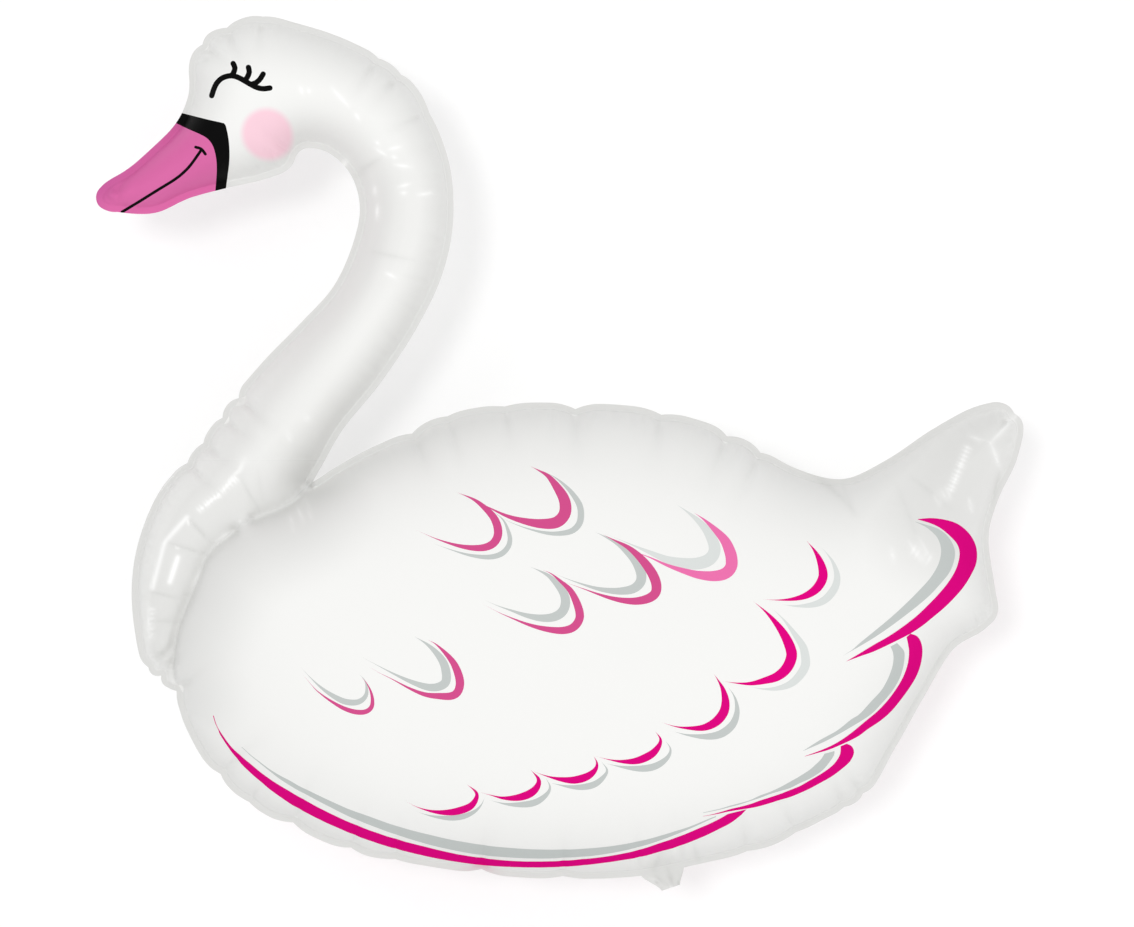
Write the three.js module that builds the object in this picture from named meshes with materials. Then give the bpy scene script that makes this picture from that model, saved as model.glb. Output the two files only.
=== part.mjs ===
// A swan-shaped foil balloon, blown up and lying on its back film.
// Two sheets of film are sealed to each other along one outline, and a broken seal line parts the
// curved neck from the breast. Inside the seal the gas swells both sheets.
// Units are millimetres. X runs from the bill to the tail, Y from the belly to the head, Z is up.

import * as THREE from 'three';

// Driving dimensions.
const LENGTH = 850;
const BODY_DEPTH = 280;
const SEAM_WIDTH = 6;
const SEAM_THICKNESS = 1;
const WELD_WIDTH = 4;
const FILL_TAIL_WIDTH = 40;
const FILL_TAIL_LENGTH = 15;
const FILL_TAIL_TAPER = 5;
const REST_FLAT = 5;

// Relief of the film: how far a pucker draws the seam in along it, the valley that runs from it
// into the film, and the width of a fold.
const PUCKER_REACH = 24;
const VALLEY_WIDTH = 5;
const VALLEY_LENGTH = 30;
const VALLEY_DEPTH = 0.07;
const VALLEY_SPREAD = 0.2;
const CREASE_WIDTH = 5;

// Fineness of the faceted surface.
const CURVE_DIVISIONS = 24;
const EDGE_STEP = 10;
const RIM_ROWS = [
  { inset: SEAM_WIDTH * 0.7, step: EDGE_STEP },
  { inset: EDGE_STEP * 1.3, step: EDGE_STEP * 1.4 },
];
const FILM_STEP = 20;
const SPACING = 0.7;
const SOLVER_CELL = 3;
const SOLVER_REST = 0.001;
const SOLVER_RIM_CELLS = 4;
const OUTER_TRIANGLE = 50 * LENGTH;

// The outline is a free form, drawn on a square grid and scaled to LENGTH.
// Grid x runs to the tail and grid y runs down. Each stretch is named for what it bounds.
const BILL_TOP = [[96, 196], [103, 184], [128, 168], [150, 149], [177, 121]];
const CROWN = [[189, 92], [190, 60], [203, 37], [226, 24], [258, 14], [300, 23], [345, 38], [388, 61]];
const NAPE = [
  [417, 87], [438, 128], [451, 170], [453, 225], [442, 275],
  [417, 327], [380, 383], [342, 430], [321, 467],
];
const NECK_NOTCH = [[313, 481]];
const BACK = [
  [330, 470], [365, 450], [400, 434], [445, 414], [505, 403], [570, 402],
  [640, 406], [705, 421], [752, 442], [795, 467], [843, 478],
];
const TAIL = [
  [885, 460], [935, 427], [978, 405], [1006, 402], [1023, 418], [1018, 456],
  [998, 500], [989, 535], [995, 585], [998, 613], [984, 629], [955, 647],
];
const RUMP = [[926, 693], [895, 748], [867, 793], [821, 820], [771, 845], [700, 863]];
const BELLY = [
  [640, 875], [560, 878], [490, 874], [420, 864], [355, 852],
  [300, 830], [250, 804], [207, 763], [185, 724], [174, 693],
];
const BREAST = [[162, 682], [143, 662], [135, 630], [132, 585], [139, 540], [160, 490], [194, 450]];
const THROAT = [
  [228, 403], [263, 361], [301, 322], [334, 285], [354, 240], [360, 205],
  [350, 172], [325, 150], [301, 149], [289, 168], [262, 179], [227, 187],
];
const BILL_UNDERSIDE = [[190, 197], [155, 212], [118, 211], [101, 207]];
const OUTLINE = [
  ...BILL_TOP, ...CROWN, ...NAPE, ...NECK_NOTCH, ...BACK, ...TAIL, ...RUMP,
  ...BELLY, ...BREAST, ...THROAT, ...BILL_UNDERSIDE,
];

// Puckers of the seam: grid place, and depth in grid squares.
const HEAD_PUCKERS = [
  [201, 42, 4], [228, 27, 3], [262, 17, 1.5], [378, 57, 2], [402, 72, 2], [430, 113, 1.5],
];
const BACK_PUCKERS = [
  [413, 434, 4], [448, 414, 2], [505, 406, 2.5], [576, 409, 6],
  [662, 415, 4], [728, 436, 5], [762, 451, 4],
];
const TAIL_PUCKERS = [[1016, 411, 4], [866, 795, 3], [845, 809, 2], [797, 833, 2], [750, 853, 2]];
const BELLY_PUCKERS = [
  [563, 873, 3], [482, 868, 5], [395, 861, 2], [350, 848, 4],
  [292, 822, 5], [248, 801, 2], [221, 773, 4], [175, 691, 4],
];
const NECK_PUCKERS = [
  [160, 676, 5], [148, 667, 2], [185, 461, 3], [201, 440, 3], [218, 413, 4], [238, 396, 5],
];
const PUCKERS = [...HEAD_PUCKERS, ...BACK_PUCKERS, ...TAIL_PUCKERS, ...BELLY_PUCKERS, ...NECK_PUCKERS];

// The seal between neck and breast has two stretches, with a way for the gas between them.
const UPPER_WELD = [[313, 481], [295, 500], [280, 508], [255, 518]];
const LOWER_WELD = [[235, 531], [210, 553], [197, 583], [180, 625], [173, 660], [175, 691]];

// Folds pressed into the film: both ends on the grid, and the share of the height that they take.
const CREASES = [
  [194, 517, 208, 540, 0.12], [166, 542, 207, 556, 0.15], [150, 597, 180, 598, 0.12],
  [240, 478, 258, 510, 0.1], [370, 252, 415, 262, 0.06], [352, 178, 382, 160, 0.1],
  [988, 443, 1018, 413, 0.35], [988, 443, 968, 436, 0.2], [988, 443, 997, 475, 0.25],
];
const FILL_TAIL_PLACE = [664, 874];

const film = new THREE.MeshStandardMaterial({ color: 0xf3f3f1, roughness: 0.2, metalness: 0.1 });

// Length along a line at each of its points, with the way back to the start as the last value.
function lengthsAlong(line) {
  const lengths = [0];
  line.forEach((point, i) => {
    lengths.push(lengths[i] + point.distanceTo(line[(i + 1) % line.length]));
  });
  return lengths;
}

function nearestIndex(line, place) {
  let best = 0;
  line.forEach((point, i) => {
    if (point.distanceTo(place) < line[best].distanceTo(place)) {
      best = i;
    }
  });
  return best;
}

// Direction to the left of travel, which is inward on a line that runs counter-clockwise.
function inwardAt(line, i) {
  const before = line[(i - 1 + line.length) % line.length];
  const after = line[(i + 1) % line.length];
  const along = after.clone().sub(before).normalize();
  return new THREE.Vector2(-along.y, along.x);
}

// Smooth closed curve through the landmarks, counter-clockwise, at real size.
function drawOutline() {
  const landmarks = OUTLINE.map(([x, y]) => new THREE.Vector3(x, -y, 0)).reverse();
  const curve = new THREE.CatmullRomCurve3(landmarks, true, 'centripetal');
  const drawn = curve.getPoints(landmarks.length * CURVE_DIVISIONS).slice(0, -1);
  const box = new THREE.Box3().setFromPoints(drawn);
  const scale = LENGTH / (box.max.x - box.min.x);
  const place = ([x, y]) => new THREE.Vector2(x * scale, -y * scale);
  return { line: drawn.map((point) => place([point.x, -point.y])), place, scale };
}

// Each pucker draws the seam in to a cusp, and the film between two puckers stays a round lobe.
function puckerOutline({ line, place, scale }) {
  const lengths = lengthsAlong(line);
  const total = lengths[line.length];
  const puckers = PUCKERS.map(([x, y, depth]) => ({
    index: nearestIndex(line, place([x, y])),
    depth: depth * scale,
  }));
  puckers.sort((a, b) => a.index - b.index);
  const away = (from, to) => {
    const apart = Math.abs(to - from);
    return Math.min(apart, total - apart);
  };
  puckers.forEach((pucker, k) => {
    pucker.at = lengths[pucker.index];
    const next = lengths[puckers[(k + 1) % puckers.length].index];
    const last = lengths[puckers[(k - 1 + puckers.length) % puckers.length].index];
    pucker.reach = Math.min(away(pucker.at, next) / 2, away(last, pucker.at) / 2, PUCKER_REACH);
    pucker.inward = inwardAt(line, pucker.index);
  });
  const puckered = line.map((point, i) => {
    const dips = puckers.map(({ at, depth, reach }) => {
      const left = Math.max(1 - away(at, lengths[i]) / reach, 0);
      return depth * left * left;
    });
    return point.clone().addScaledVector(inwardAt(line, i), Math.max(...dips));
  });
  puckers.forEach((pucker) => {
    pucker.point = puckered[pucker.index];
  });
  return { line: puckered, puckers };
}

// Point at a length along a closed line.
function pointAt(line, lengths, length) {
  const total = lengths[line.length];
  const wanted = (length + total) % total;
  let i = lengths.findIndex((value) => value > wanted) - 1;
  i = Math.max(i, 0);
  const share = (wanted - lengths[i]) / (lengths[i + 1] - lengths[i]);
  return line[i].clone().lerp(line[(i + 1) % line.length], share);
}

// Even steps along a closed line between stops that each get a point of their own.
function divide(line, stops, step) {
  const lengths = lengthsAlong(line);
  const total = lengths[line.length];
  const sorted = [...stops].sort((a, b) => a - b);
  return sorted.flatMap((stop, k) => {
    const next = k + 1 < sorted.length ? sorted[k + 1] : sorted[0] + total;
    const count = Math.max(Math.ceil((next - stop) / step), 1);
    return Array.from({ length: count }, (_, j) => {
      return pointAt(line, lengths, stop + ((next - stop) * j) / count);
    });
  });
}

// The flat fill tail, with the place where it leaves the outline.
function fillTail(line, centre) {
  const lengths = lengthsAlong(line);
  const middle = lengths[nearestIndex(line, centre)];
  const first = pointAt(line, lengths, middle - FILL_TAIL_WIDTH / 2);
  const last = pointAt(line, lengths, middle + FILL_TAIL_WIDTH / 2);
  const along = last.clone().sub(first).normalize();
  const outward = new THREE.Vector2(along.y, -along.x);
  const tip = (root, inset) => {
    return root.clone().addScaledVector(outward, FILL_TAIL_LENGTH).addScaledVector(along, inset);
  };
  const tipFirst = tip(first, FILL_TAIL_TAPER);
  const tipLast = tip(last, -FILL_TAIL_TAPER);
  const side = Math.ceil(FILL_TAIL_LENGTH / EDGE_STEP);
  const end = Math.ceil(tipFirst.distanceTo(tipLast) / EDGE_STEP);
  const steps = (from, to, count) => {
    return Array.from({ length: count }, (_, k) => from.clone().lerp(to, k / count));
  };
  const edge = [
    ...steps(first, tipFirst, side), ...steps(tipFirst, tipLast, end), ...steps(tipLast, last, side), last,
  ];
  return { from: middle - FILL_TAIL_WIDTH / 2, to: middle + FILL_TAIL_WIDTH / 2, edge };
}

function distanceToSegment(x, y, from, to) {
  const dx = to.x - from.x;
  const dy = to.y - from.y;
  const along = ((x - from.x) * dx + (y - from.y) * dy) / (dx * dx + dy * dy);
  const share = Math.min(Math.max(along, 0), 1);
  const awayX = x - from.x - share * dx;
  const awayY = y - from.y - share * dy;
  return Math.sqrt(awayX * awayX + awayY * awayY);
}

function distanceToLine(x, y, line, closed) {
  let best = Infinity;
  const count = closed ? line.length : line.length - 1;
  for (let i = 0; i < count; i += 1) {
    best = Math.min(best, distanceToSegment(x, y, line[i], line[(i + 1) % line.length]));
  }
  return best;
}

function isInside(x, y, ring) {
  let inside = false;
  for (let i = 0, j = ring.length - 1; i < ring.length; j = i, i += 1) {
    const spans = ring[i].y > y !== ring[j].y > y;
    const slope = (ring[j].x - ring[i].x) / (ring[j].y - ring[i].y);
    if (spans && x < ring[i].x + slope * (y - ring[i].y)) {
      inside = !inside;
    }
  }
  return inside;
}

// How far a place lies inside the seals. It is negative on a seal and outside the outline.
function makeClearance(edge, welds) {
  return (x, y) => {
    const toEdge = distanceToLine(x, y, edge, true) * (isInside(x, y, edge) ? 1 : -1);
    const toWelds = welds.map((weld) => distanceToLine(x, y, weld, false) - WELD_WIDTH / 2);
    return Math.min(toEdge - SEAM_WIDTH, ...toWelds);
  };
}

// The gas swells the film as a membrane held at its seals. The membrane's load is solved on a
// square grid, in rounds until it rests, and its square root gives a round tube in the neck and a
// broad swell in the body.
function solveSwell(edge, clearance) {
  const box = new THREE.Box2().setFromPoints(edge);
  const columns = Math.ceil((box.max.x - box.min.x) / SOLVER_CELL) + 3;
  const rows = Math.ceil((box.max.y - box.min.y) / SOLVER_CELL) + 3;
  const start = box.min.clone().addScalar(-SOLVER_CELL);
  const gap = new Float64Array(columns * rows);
  const load = new Float64Array(columns * rows);
  const held = [];
  for (let cell = 0; cell < gap.length; cell += 1) {
    const x = start.x + (cell % columns) * SOLVER_CELL;
    const y = start.y + Math.floor(cell / columns) * SOLVER_CELL;
    gap[cell] = clearance(x, y);
    if (gap[cell] > 0) {
      held.push(cell);
    }
  }
  const neighbours = [1, -1, columns, -columns];
  const pull = 2 / (1 + Math.sin(Math.PI / Math.max(columns, rows)));
  const cellLoad = 2 * SOLVER_CELL * SOLVER_CELL;
  let change = cellLoad;
  while (change > SOLVER_REST * cellLoad) {
    change = 0;
    for (const cell of held) {
      let sum = cellLoad;
      let weight = 0;
      for (const offset of neighbours) {
        const open = gap[cell + offset] > 0;
        sum += open ? load[cell + offset] : 0;
        weight += open ? 1 : 1 - gap[cell + offset] / gap[cell];
      }
      const step = pull * (sum / weight - load[cell]);
      load[cell] += step;
      change = Math.max(change, Math.abs(step));
    }
  }
  return { columns, start, gap, load };
}

// Half the depth of the envelope at a place, before folds. The load falls evenly to nothing over
// the last cells before a seal, so there it is read as a share of the clearance.
function makeHalfDepth(clearance, { columns, start, gap, load }) {
  const peak = Math.sqrt(load.reduce((a, b) => Math.max(a, b), 0));
  const slimming = 1 - BODY_DEPTH / 2 / peak;
  return (x, y) => {
    const clear = clearance(x, y);
    if (clear <= 0) {
      return 0;
    }
    const column = Math.floor((x - start.x) / SOLVER_CELL);
    const row = Math.floor((y - start.y) / SOLVER_CELL);
    const u = (x - start.x) / SOLVER_CELL - column;
    const v = (y - start.y) / SOLVER_CELL - row;
    const cell = row * columns + column;
    const corners = [
      [0, (1 - u) * (1 - v)], [1, u * (1 - v)], [columns, (1 - u) * v], [columns + 1, u * v],
    ];
    let steepness = 0;
    let weight = 0;
    let level = 0;
    for (const [offset, share] of corners) {
      level += load[cell + offset] * share;
      if (gap[cell + offset] > 0) {
        steepness += (load[cell + offset] / gap[cell + offset]) * share;
        weight += share;
      }
    }
    const near = weight > 0 ? (steepness / weight) * clear : level;
    const far = Math.min(clear / (SOLVER_RIM_CELLS * SOLVER_CELL), 1);
    const height = Math.sqrt(near + (level - near) * far);
    return height * (1 - slimming * (height / peak) ** 2);
  };
}

// Share of the height that is left where a fold or the valley of a pucker presses into the film.
function makeRelief(puckers, place) {
  const folds = CREASES.map(([x0, y0, x1, y1, share]) => {
    return { from: place([x0, y0]), to: place([x1, y1]), share };
  });
  return (x, y) => {
    let left = 1;
    for (const { from, to, share } of folds) {
      const away = distanceToSegment(x, y, from, to) / CREASE_WIDTH;
      left *= 1 - share * Math.exp(-away * away);
    }
    for (const { point, inward, depth } of puckers) {
      const dx = x - point.x;
      const dy = y - point.y;
      const along = Math.max(dx * inward.x + dy * inward.y, 0);
      const across = Math.abs(dy * inward.x - dx * inward.y) / (VALLEY_WIDTH + VALLEY_SPREAD * along);
      left *= 1 - VALLEY_DEPTH * depth * Math.exp(-across * across - along / VALLEY_LENGTH);
    }
    return left;
  };
}

// Triangle with the circle through its corners.
function withCircle(points, a, b, c) {
  const [p, q, r] = [points[a], points[b], points[c]];
  const qx = q.x - p.x;
  const qy = q.y - p.y;
  const rx = r.x - p.x;
  const ry = r.y - p.y;
  const twice = 2 * (qx * ry - qy * rx);
  const q2 = qx * qx + qy * qy;
  const r2 = rx * rx + ry * ry;
  const x = (ry * q2 - qy * r2) / twice;
  const y = (qx * r2 - rx * q2) / twice;
  return { corners: [a, b, c], x: p.x + x, y: p.y + y, radius2: x * x + y * y };
}

// Delaunay triangles of a set of points, added one at a time.
function triangulate(points) {
  const all = [
    ...points, { x: -OUTER_TRIANGLE, y: -OUTER_TRIANGLE }, { x: OUTER_TRIANGLE, y: -OUTER_TRIANGLE },
    { x: 0, y: OUTER_TRIANGLE },
  ];
  const outer = points.length;
  let triangles = [withCircle(all, outer, outer + 1, outer + 2)];
  points.forEach((point, i) => {
    const open = new Map();
    triangles = triangles.filter((triangle) => {
      const dx = point.x - triangle.x;
      const dy = point.y - triangle.y;
      if (dx * dx + dy * dy >= triangle.radius2) {
        return true;
      }
      const [a, b, c] = triangle.corners;
      for (const [from, to] of [[a, b], [b, c], [c, a]]) {
        if (!open.delete(`${to},${from}`)) {
          open.set(`${from},${to}`, [from, to]);
        }
      }
      return false;
    });
    for (const [from, to] of open.values()) {
      triangles.push(withCircle(all, from, to, i));
    }
  });
  return triangles.map(({ corners }) => corners).filter((corners) => Math.max(...corners) < outer);
}

// Triangles that fill a ring, with every side of the ring in them. A side that the triangles pass
// over is halved.
function fillRing(ring, inner) {
  let rim = ring;
  for (;;) {
    const points = [...rim, ...inner];
    const faces = triangulate(points).filter(([a, b, c]) => {
      const x = (points[a].x + points[b].x + points[c].x) / 3;
      const y = (points[a].y + points[b].y + points[c].y) / 3;
      return isInside(x, y, rim);
    });
    const sides = new Set(faces.flatMap(([a, b, c]) => [`${a},${b}`, `${b},${c}`, `${c},${a}`]));
    const whole = rim.map((_, i) => sides.has(`${i},${(i + 1) % rim.length}`));
    if (whole.every((kept) => kept)) {
      return { points, faces, rim: rim.length };
    }
    rim = rim.flatMap((point, i) => {
      return whole[i] ? [point] : [point, point.clone().lerp(rim[(i + 1) % rim.length], 0.5)];
    });
  }
}

// Points between the seals: rows along each seal, close where the film is steep, then a lattice.
function spreadPoints(ring, line, stops, welds, clearance) {
  const points = [...ring];
  const add = (point, spacing) => {
    if (points.every((other) => other.distanceTo(point) > spacing)) {
      points.push(point);
    }
  };
  const edgeRow = (inset, step, spacing) => {
    const row = divide(line, stops, step);
    row.forEach((point, i) => {
      const place = point.clone().addScaledVector(inwardAt(row, i), inset);
      if (distanceToLine(place.x, place.y, row, true) > inset * SPACING) {
        add(place, spacing);
      }
    });
  };
  const weldRow = (weld, inset, step, spacing) => {
    const count = Math.ceil(new THREE.SplineCurve(weld).getLength() / step);
    const row = new THREE.SplineCurve(weld).getSpacedPoints(count);
    row.forEach((point, i) => {
      const along = row[Math.min(i + 1, count)].clone().sub(row[Math.max(i - 1, 0)]).normalize();
      for (const side of [1, -1]) {
        const place = new THREE.Vector2(-along.y, along.x).multiplyScalar(side * inset).add(point);
        if (clearance(place.x, place.y) > -SEAM_WIDTH / 2) {
          add(place, spacing);
        }
      }
    });
  };
  edgeRow(SEAM_WIDTH, EDGE_STEP, WELD_WIDTH / 2);
  welds.forEach((weld) => weldRow(weld, WELD_WIDTH / 2, EDGE_STEP * SPACING, WELD_WIDTH / 2));
  for (const { inset, step } of RIM_ROWS) {
    edgeRow(SEAM_WIDTH + inset, step, inset * SPACING);
    welds.forEach((weld) => weldRow(weld, WELD_WIDTH / 2 + inset, step, inset * SPACING));
  }
  const box = new THREE.Box2().setFromPoints(ring);
  const rise = (FILM_STEP * Math.sqrt(3)) / 2;
  for (let row = 0; box.min.y + row * rise < box.max.y; row += 1) {
    for (let x = box.min.x + (row % 2) * (FILM_STEP / 2); x < box.max.x; x += FILM_STEP) {
      const y = box.min.y + row * rise;
      if (clearance(x, y) > 0) {
        add(new THREE.Vector2(x, y), FILM_STEP * SPACING);
      }
    }
  }
  return points.slice(ring.length);
}

// Both films over the same triangles, closed by a wall along the edge.
function closeEnvelope({ points, faces, rim }, halfDepth, floor) {
  const positions = [];
  const count = points.length;
  for (const point of points) {
    positions.push(point.x, point.y, halfDepth(point.x, point.y));
  }
  for (const point of points) {
    positions.push(point.x, point.y, Math.max(-halfDepth(point.x, point.y), floor));
  }
  const index = faces.flatMap(([a, b, c]) => [a, b, c, c + count, b + count, a + count]);
  for (let i = 0; i < rim; i += 1) {
    const j = (i + 1) % rim;
    index.push(i + count, j + count, j, i + count, j, i);
  }
  const geometry = new THREE.BufferGeometry();
  geometry.setAttribute('position', new THREE.Float32BufferAttribute(positions, 3));
  geometry.setIndex(index);
  geometry.computeVertexNormals();
  return geometry;
}

function makeBalloon() {
  const drawn = drawOutline();
  const { line, puckers } = puckerOutline(drawn);
  const lengths = lengthsAlong(line);
  const total = lengths[line.length];
  const notch = lengths[nearestIndex(line, drawn.place(NECK_NOTCH[0]))];
  const tail = fillTail(line, drawn.place(FILL_TAIL_PLACE));
  const stops = [...puckers.map(({ index }) => lengths[index]), notch, tail.from, tail.to];
  const edge = divide(line, stops, EDGE_STEP);
  const rooted = (point) => {
    const at = lengths[nearestIndex(line, point)];
    return at > tail.from - EDGE_STEP / 4 && at < tail.to + EDGE_STEP / 4;
  };
  const start = edge.findIndex(rooted);
  const ring = edge.filter((point) => !rooted(point));
  ring.splice(start, 0, ...tail.edge);
  const weldCurves = [UPPER_WELD, LOWER_WELD].map((weld) => weld.map(drawn.place));
  const welds = weldCurves.map((weld) => new THREE.SplineCurve(weld).getPoints(CURVE_DIVISIONS));
  const clearance = makeClearance(edge, welds);
  const swell = makeHalfDepth(clearance, solveSwell(edge, clearance));
  const relief = makeRelief(puckers, drawn.place);
  const halfDepth = (x, y) => Math.max(swell(x, y) * relief(x, y), SEAM_THICKNESS / 2);
  const inner = spreadPoints(ring, line, stops, weldCurves, clearance);
  const restHeight = BODY_DEPTH / 2 - REST_FLAT;
  const geometry = closeEnvelope(fillRing(ring, inner), halfDepth, -restHeight);
  const balloon = new THREE.Mesh(geometry, film);
  const box = new THREE.Box2().setFromPoints(ring);
  const centre = box.getCenter(new THREE.Vector2());
  balloon.name = 'foil_balloon';
  balloon.position.set(-centre.x, -centre.y, restHeight);
  return balloon;
}

const swan = new THREE.Group();
swan.add(makeBalloon());

export default swan;
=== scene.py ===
"""Swan foil balloon, lying on its back film on a pale floor.

Two sheets of pearl-white film, sealed along one outline, each with the same feather print.
Units are metres. X runs from the bill to the tail, Y from the belly to the head, Z is up.
"""
import math
import random

import bpy
import numpy as np
from mathutils import Matrix, Vector, noise
from mathutils.geometry import delaunay_2d_cdt
from mathutils.kdtree import KDTree


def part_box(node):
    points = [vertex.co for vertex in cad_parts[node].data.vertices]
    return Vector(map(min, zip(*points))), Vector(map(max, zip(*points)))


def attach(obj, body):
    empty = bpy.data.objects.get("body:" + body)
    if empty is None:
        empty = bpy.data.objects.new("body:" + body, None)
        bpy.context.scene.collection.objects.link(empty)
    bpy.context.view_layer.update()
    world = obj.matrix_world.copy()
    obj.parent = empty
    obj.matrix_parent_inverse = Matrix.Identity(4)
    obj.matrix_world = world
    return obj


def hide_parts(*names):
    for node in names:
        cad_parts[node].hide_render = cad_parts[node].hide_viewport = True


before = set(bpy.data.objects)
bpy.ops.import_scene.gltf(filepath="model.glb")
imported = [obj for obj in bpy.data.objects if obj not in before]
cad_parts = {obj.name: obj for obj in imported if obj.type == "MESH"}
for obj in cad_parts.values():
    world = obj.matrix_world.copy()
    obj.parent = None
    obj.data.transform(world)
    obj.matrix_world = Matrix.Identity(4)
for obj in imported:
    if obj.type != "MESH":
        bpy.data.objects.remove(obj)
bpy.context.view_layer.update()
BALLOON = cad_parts["foil_balloon"]

# Named places are given on a square grid over the swan. Grid x runs to the tail, grid y runs down.
GRID_STEP = 0.000916
GRID_MIDDLE = (559.94, 453.3)

# Seals.
SEAM_WIDTH = 0.006
SEAL_HALF_THICKNESS = 0.0004
UPPER_WELD = [(313, 481), (295, 500), (280, 508), (255, 518)]
LOWER_WELD = [(238, 529), (210, 553), (197, 583), (180, 625), (173, 660), (175, 691)]

# The swollen neck and breast press together above their weld. The film seen there is this high over
# the middle plane, from the notch along both stretches to the lower end.
UPPER_CLOSING = [0, 0.028, 0.035, 0.039, 0.041]
LOWER_CLOSING = [0.04, 0.036, 0.029, 0.021, 0.011, 0]

# The glossy lower neck lies between the welds and these corners, and its gloss sets in down this grid y.
NECK_SIDE = [(60, 691), (60, 330), (470, 300)]
GLOSS_RANGE = (440, 480)

# The fill tail's corners lie within this reach of its place.
FILL_TAIL_PLACE = (664, 874)
FILL_TAIL_REACH = 0.035

# View of the photograph.
VIEW_PLACE = (0.0065, -0.0093)
VIEW_WIDTH = 1.0387
VIEW_DISTANCE = 5.0
VIEW_ROUNDS = 3
SENSOR_WIDTH = 36
CLIP_END = 20

# Fineness of the film's mesh. A row keeps the points that lie in by this share of its inset, and turns
# round an outward corner in a fan of that many points for each step. A pen line's round end has its own.
RING_STEP = 0.0024
FILM_STEP = 0.0028
SEAM_ROWS = [0.0008, 0.0025, 0.0045, 0.006]
RIM_ROWS = [0.0007, 0.0016, 0.0026, 0.0038, 0.0052, 0.0068, 0.0086, 0.0106, 0.013]
WELD_ROWS = [0.0008, 0.0017, 0.0028, 0.0042]
ROW_SHARE = 0.9
LATTICE_CLEARANCE = 0.0152
FINE_STEP = 0.0014
FINE_REACH = 0.02
FINE_LINES = [
    [(250, 475), (195, 515), (170, 560), (160, 610), (158, 650)],
    [(1012, 418), (985, 445), (955, 480)],
    [(320, 95), (355, 115), (385, 150), (405, 188), (425, 196)],
    [(385, 255), (400, 275)],
]
STROKE_STEP = 0.0016
FAN = 3
CAP_POINTS = 7

# The lining is a coarse inner layer, this far under the film, with every third point of its seams.
LINING_STEP = 0.012
LINING_GAP = 0.011
LINING_INSET = 0.0006
LINING_EVERY = 3

# Points to each side of a place on a line that give the line's direction there.
BESIDE = 3

# Tolerances: how far an upright wall's normal may lean up or down, the digits and the distances within
# which two places are one, and a number next to nothing.
UPRIGHT = 0.005
ROUND_DIGITS = 6
SAME_PLACE = 1e-6
MERGE = 1e-7
TINY = 1e-20

# Swell of the film. Within the rim's cells it follows its clearance, and its foot is softened.
CELL = 0.002
MARGIN_CELLS = 3
SWELL_ROUNDS = 900
RIM_CELLS = 6
FOOT = 0.012
FOOT_FADE = 0.02

# Painted shade on the film, greyer on its wall inside the seal, then a line along each other part:
# how grey the painted shade is there and how far that reaches.
RIM_FADE = 0.02
WALL_SHADE = 0.8
SHADE_LINES = [
    (UPPER_WELD, 0.8, 0.09), (LOWER_WELD, 0.8, 0.09),
    ([(385, 190), (378, 240), (330, 310), (270, 400), (205, 480), (160, 580)], 0.55, 0.06),
    ([(1015, 405), (970, 450), (935, 520)], 0.8, 0.09),
]

# Crease along the welds, and the least upward share of a film's normal that a fold is divided by.
WELD_REACH = 0.005
WELD_CREASE = 0.0008
WELD_CREASE_WIDTH = 0.0014
WELD_CREASE_FADE = 0.008
STEEPEST = 0.4

# Waves of the film's edge along the seam, and its slow unevenness: height, fineness and start of each.
SEAM_WAVES = [(0.0012, 45, 3.1), (0.0008, 130, 8.3)]
SEAM_JOIN = 0.03
FACETS = [(0.0007, 11, 0.3), (0.0003, 31, 5.7)]
FACET_FADE = 0.03

# The fill tail is crumpled, and drawn together towards its end and to the right.
TAIL_CRUMPLE = 0.003
TAIL_WAVES = (140, 60, 2.2)
TAIL_WAVE_FADE = 0.008
TAIL_MIDDLE = (668, 880)
TAIL_LENGTH = 0.016
TAIL_SHIFT = 0.004
TAIL_GATHER = 0.45

# A point of the ring is a pucker's cusp where it turns in this much more than the points beside it.
CUSP_TURN = math.radians(12)
BEND_TURN = math.radians(8)
CORNER_TURN = math.radians(60)

random.seed(7)
noise.seed_set(7)


def on_film(points):
    """Grid places as X and Y in metres."""
    return [((x - GRID_MIDDLE[0]) * GRID_STEP, (GRID_MIDDLE[1] - y) * GRID_STEP) for x, y in points]


def smooth(points, step):
    """Points at about an even step on a smooth open curve through the given ones."""
    p = np.array(points, float)
    p = np.vstack([2 * p[:1] - p[1:2], p, 2 * p[-1:] - p[-2:-1]])
    line = []
    for i in range(1, len(p) - 2):
        a, b, c, d = p[i - 1:i + 3]
        count = max(2, int(np.linalg.norm(c - b) / step))
        t = (np.arange(count) / count)[:, None]
        steep = (2 * a - 5 * b + 4 * c - d) * t**2
        line.append(0.5 * (2 * b + (c - a) * t + steep + (3 * b - a - 3 * c + d) * t**3))
    line.append(p[-2:-1])
    return np.vstack(line)


def sides_of(line):
    """Unit direction along a line at each of its points, and the one to its left."""
    along = np.gradient(line, axis=0)
    along /= np.linalg.norm(along, axis=1)[:, None]
    return along, np.stack([-along[:, 1], along[:, 0]], 1)


def lengths_along(line):
    """Length of a line up to each of its points."""
    return np.concatenate([[0], np.cumsum(np.linalg.norm(np.diff(line, axis=0), axis=1))])


def curve_between(start, out, end, into, t):
    """Place at share t of a curve that leaves its start and comes into its end along given slopes."""
    return (
        (2 * t**3 - 3 * t**2 + 1) * start + (t**3 - 2 * t**2 + t) * out
        + (3 * t**2 - 2 * t**3) * end + (t**3 - t**2) * into
    )


def counter_clockwise(outline):
    """The same closed outline, run through counter-clockwise."""
    x, y = outline.T
    area = np.sum(x * np.roll(y, -1) - np.roll(x, -1) * y)
    return outline if area > 0 else outline[::-1]


def tree_of(points):
    """Search tree over points of the plane."""
    tree = KDTree(len(points))
    for i, (x, y) in enumerate(points):
        tree.insert((x, y, 0), i)
    tree.balance()
    return tree


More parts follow.
